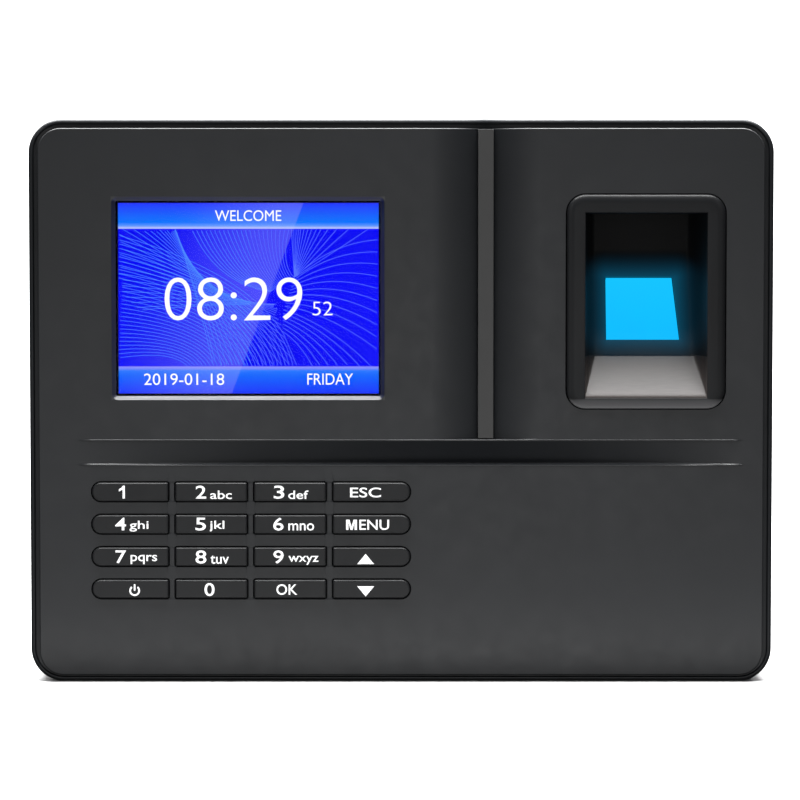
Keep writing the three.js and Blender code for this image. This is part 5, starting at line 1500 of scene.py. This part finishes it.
def board_material():
    """Green solder mask with a net of slightly raised tracks."""
    nodes = Nodes("circuit_board")
    inputs = {"Vector": nodes.place()[3], "Scale": 0.35}
    cells = nodes.add("ShaderNodeTexVoronoi", inputs, output="Distance", feature="DISTANCE_TO_EDGE")
    tracks = cells < 0.06
    nodes.surface({"Base Color": nodes.mix(tracks, linear(12, 78, 48), linear(30, 110, 70))})
    nodes.surface({"Roughness": 0.35})
    nodes.bump(tracks, 0.02)
    return nodes.material


KEPT = {
    "display_frame": steel,
    "display_ribbon": plastic("ribbon_film", linear(188, 118, 48), rough=(0.3, 0.4)),
    "reader_housing": inner_plastic,
    "coin_cell": steel,
    "cell_holder": inner_plastic,
    "speaker_frame": steel,
    "speaker_cone": black_rubber,
    "speaker_lead": black_rubber,
    "reader_lead": black_rubber,
    "power_jack_pin": brass,
    "usb_tongue": white_plastic,
    "processor_chip": inner_plastic,
    "memory_chip": inner_plastic,
}
board = board_material()


def kept_material(name):
    """The material of an inner part that keeps its CAD mesh."""
    if name in KEPT:
        return KEPT[name]
    if name.endswith("_board"):
        return board
    return zinc if "screw" in name else white_plastic


for name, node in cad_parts.items():
    if node.hide_render:
        continue
    node.data.materials.clear()
    node.data.materials.append(kept_material(name))


# ---------------------------------------------------------------- floor, light and camera


FLOOR_FRONT = -1500.0
FLOOR_BACK = 500.0
FLOOR_CURVE = 400.0
FLOOR_HALF = 2200.0
WALL_TOP = 2600.0
WORLD_STRENGTH = 0.05


def backdrop():
    """A pale floor that curves up behind the object."""
    shape = Shape()
    profile = [(FLOOR_FRONT, 0.0), (FLOOR_BACK, 0.0)]
    for turn in np.linspace(0.1, math.pi / 2, 16):
        profile.append((FLOOR_BACK + FLOOR_CURVE * math.sin(turn), FLOOR_CURVE * (1 - math.cos(turn))))
    profile.append((FLOOR_BACK + FLOOR_CURVE, WALL_TOP))
    shape.sheet([[(x, y, z) for y, z in profile] for x in np.linspace(-FLOOR_HALF, FLOOR_HALF, 12)])
    nodes = Nodes("pale_floor")
    cloud = nodes.spread(nodes.noise(nodes.place()[3], 0.004), 0.0, 1.0)
    pale = nodes.mix(cloud, (0.6, 0.6, 0.604, 1.0), (0.62, 0.62, 0.624, 1.0))
    nodes.surface({"Base Color": pale, "Roughness": 0.7, "Specular IOR Level": 0.1})
    floor = added("floor", mesh_of("floor", shape))
    floor.data.shade_smooth()
    floor.data.materials.append(nodes.material)
    # the photograph's front got no light back from a floor
    floor.visible_diffuse = False
    floor.visible_glossy = False


def softbox(name, place, target, size, power, seen=True):
    """A rectangular light at a place, aimed at a target. Places are in millimetres."""
    light = bpy.data.lights.new(name, "AREA")
    light.shape = "RECTANGLE"
    light.size, light.size_y = (v * MM for v in size)
    light.energy = power
    lamp = added(name, light)
    lamp.location = Vector(place) * MM
    lamp.visible_camera = seen
    lamp.rotation_mode = "QUATERNION"
    lamp.rotation_quaternion = (Vector(target) - Vector(place)).to_track_quat("-Z", "Y")


def make_world():
    """An even, faint white light from all round."""
    world = bpy.data.worlds.new("studio")
    world.use_nodes = True
    background = world.node_tree.nodes["Background"]
    background.inputs["Color"].default_value = WHITE
    background.inputs["Strength"].default_value = WORLD_STRENGTH
    bpy.context.scene.world = world


CAMERA_DISTANCE = 700.0
CAMERA_RISE = math.radians(2.65)
CAMERA_TARGET = (-0.3, 70.4)
FRAME_WIDTH = 198.66  # width of the front plane that fills the frame


def make_camera():
    """The camera, in front of the object and a little above its middle."""
    camera = bpy.data.cameras.new("camera")
    camera.sensor_width = 36.0
    camera.lens = camera.sensor_width * CAMERA_DISTANCE / FRAME_WIDTH
    camera.clip_start, camera.clip_end = 0.05, 20.0
    seen = added("camera", camera)
    target = Vector((CAMERA_TARGET[0], FIELD_Y, CAMERA_TARGET[1]))
    back = Vector((0.0, -math.cos(CAMERA_RISE), math.sin(CAMERA_RISE)))
    seen.location = (target + back * CAMERA_DISTANCE) * MM
    seen.rotation_mode = "QUATERNION"
    seen.rotation_quaternion = (-back).to_track_quat("-Z", "Y")
    bpy.context.scene.camera = seen


backdrop()
make_world()
MIDDLE = (0.0, 0.0, 70.0)
softbox("overhead", (0, -60, 900), MIDDLE, (900, 500), 28.0)
softbox("front", (0, -1150, 110), MIDDLE, (400, 420), 0.58)
softbox("front_left", (-750, -850, 420), MIDDLE, (500, 600), 0.85)
softbox("front_right", (750, -850, 420), MIDDLE, (500, 600), 0.5)
softbox("low", (0, -400, 5), (0, -120, 300), (1000, 260), 0.55)
softbox("from_below", (0, -50, 2), (0, -50, 100), (260, 40), 0.05, seen=False)
softbox("backdrop_light", (0, 300, 1200), (0, 700, 0), (1400, 500), 60.0)
softbox("behind_left", (-430, 400, 420), MIDDLE, (300, 300), 4.0)
softbox("behind_right", (430, 400, 420), MIDDLE, (300, 300), 3.0)
make_camera()
bpy.context.scene.view_settings.view_transform = "Standard"
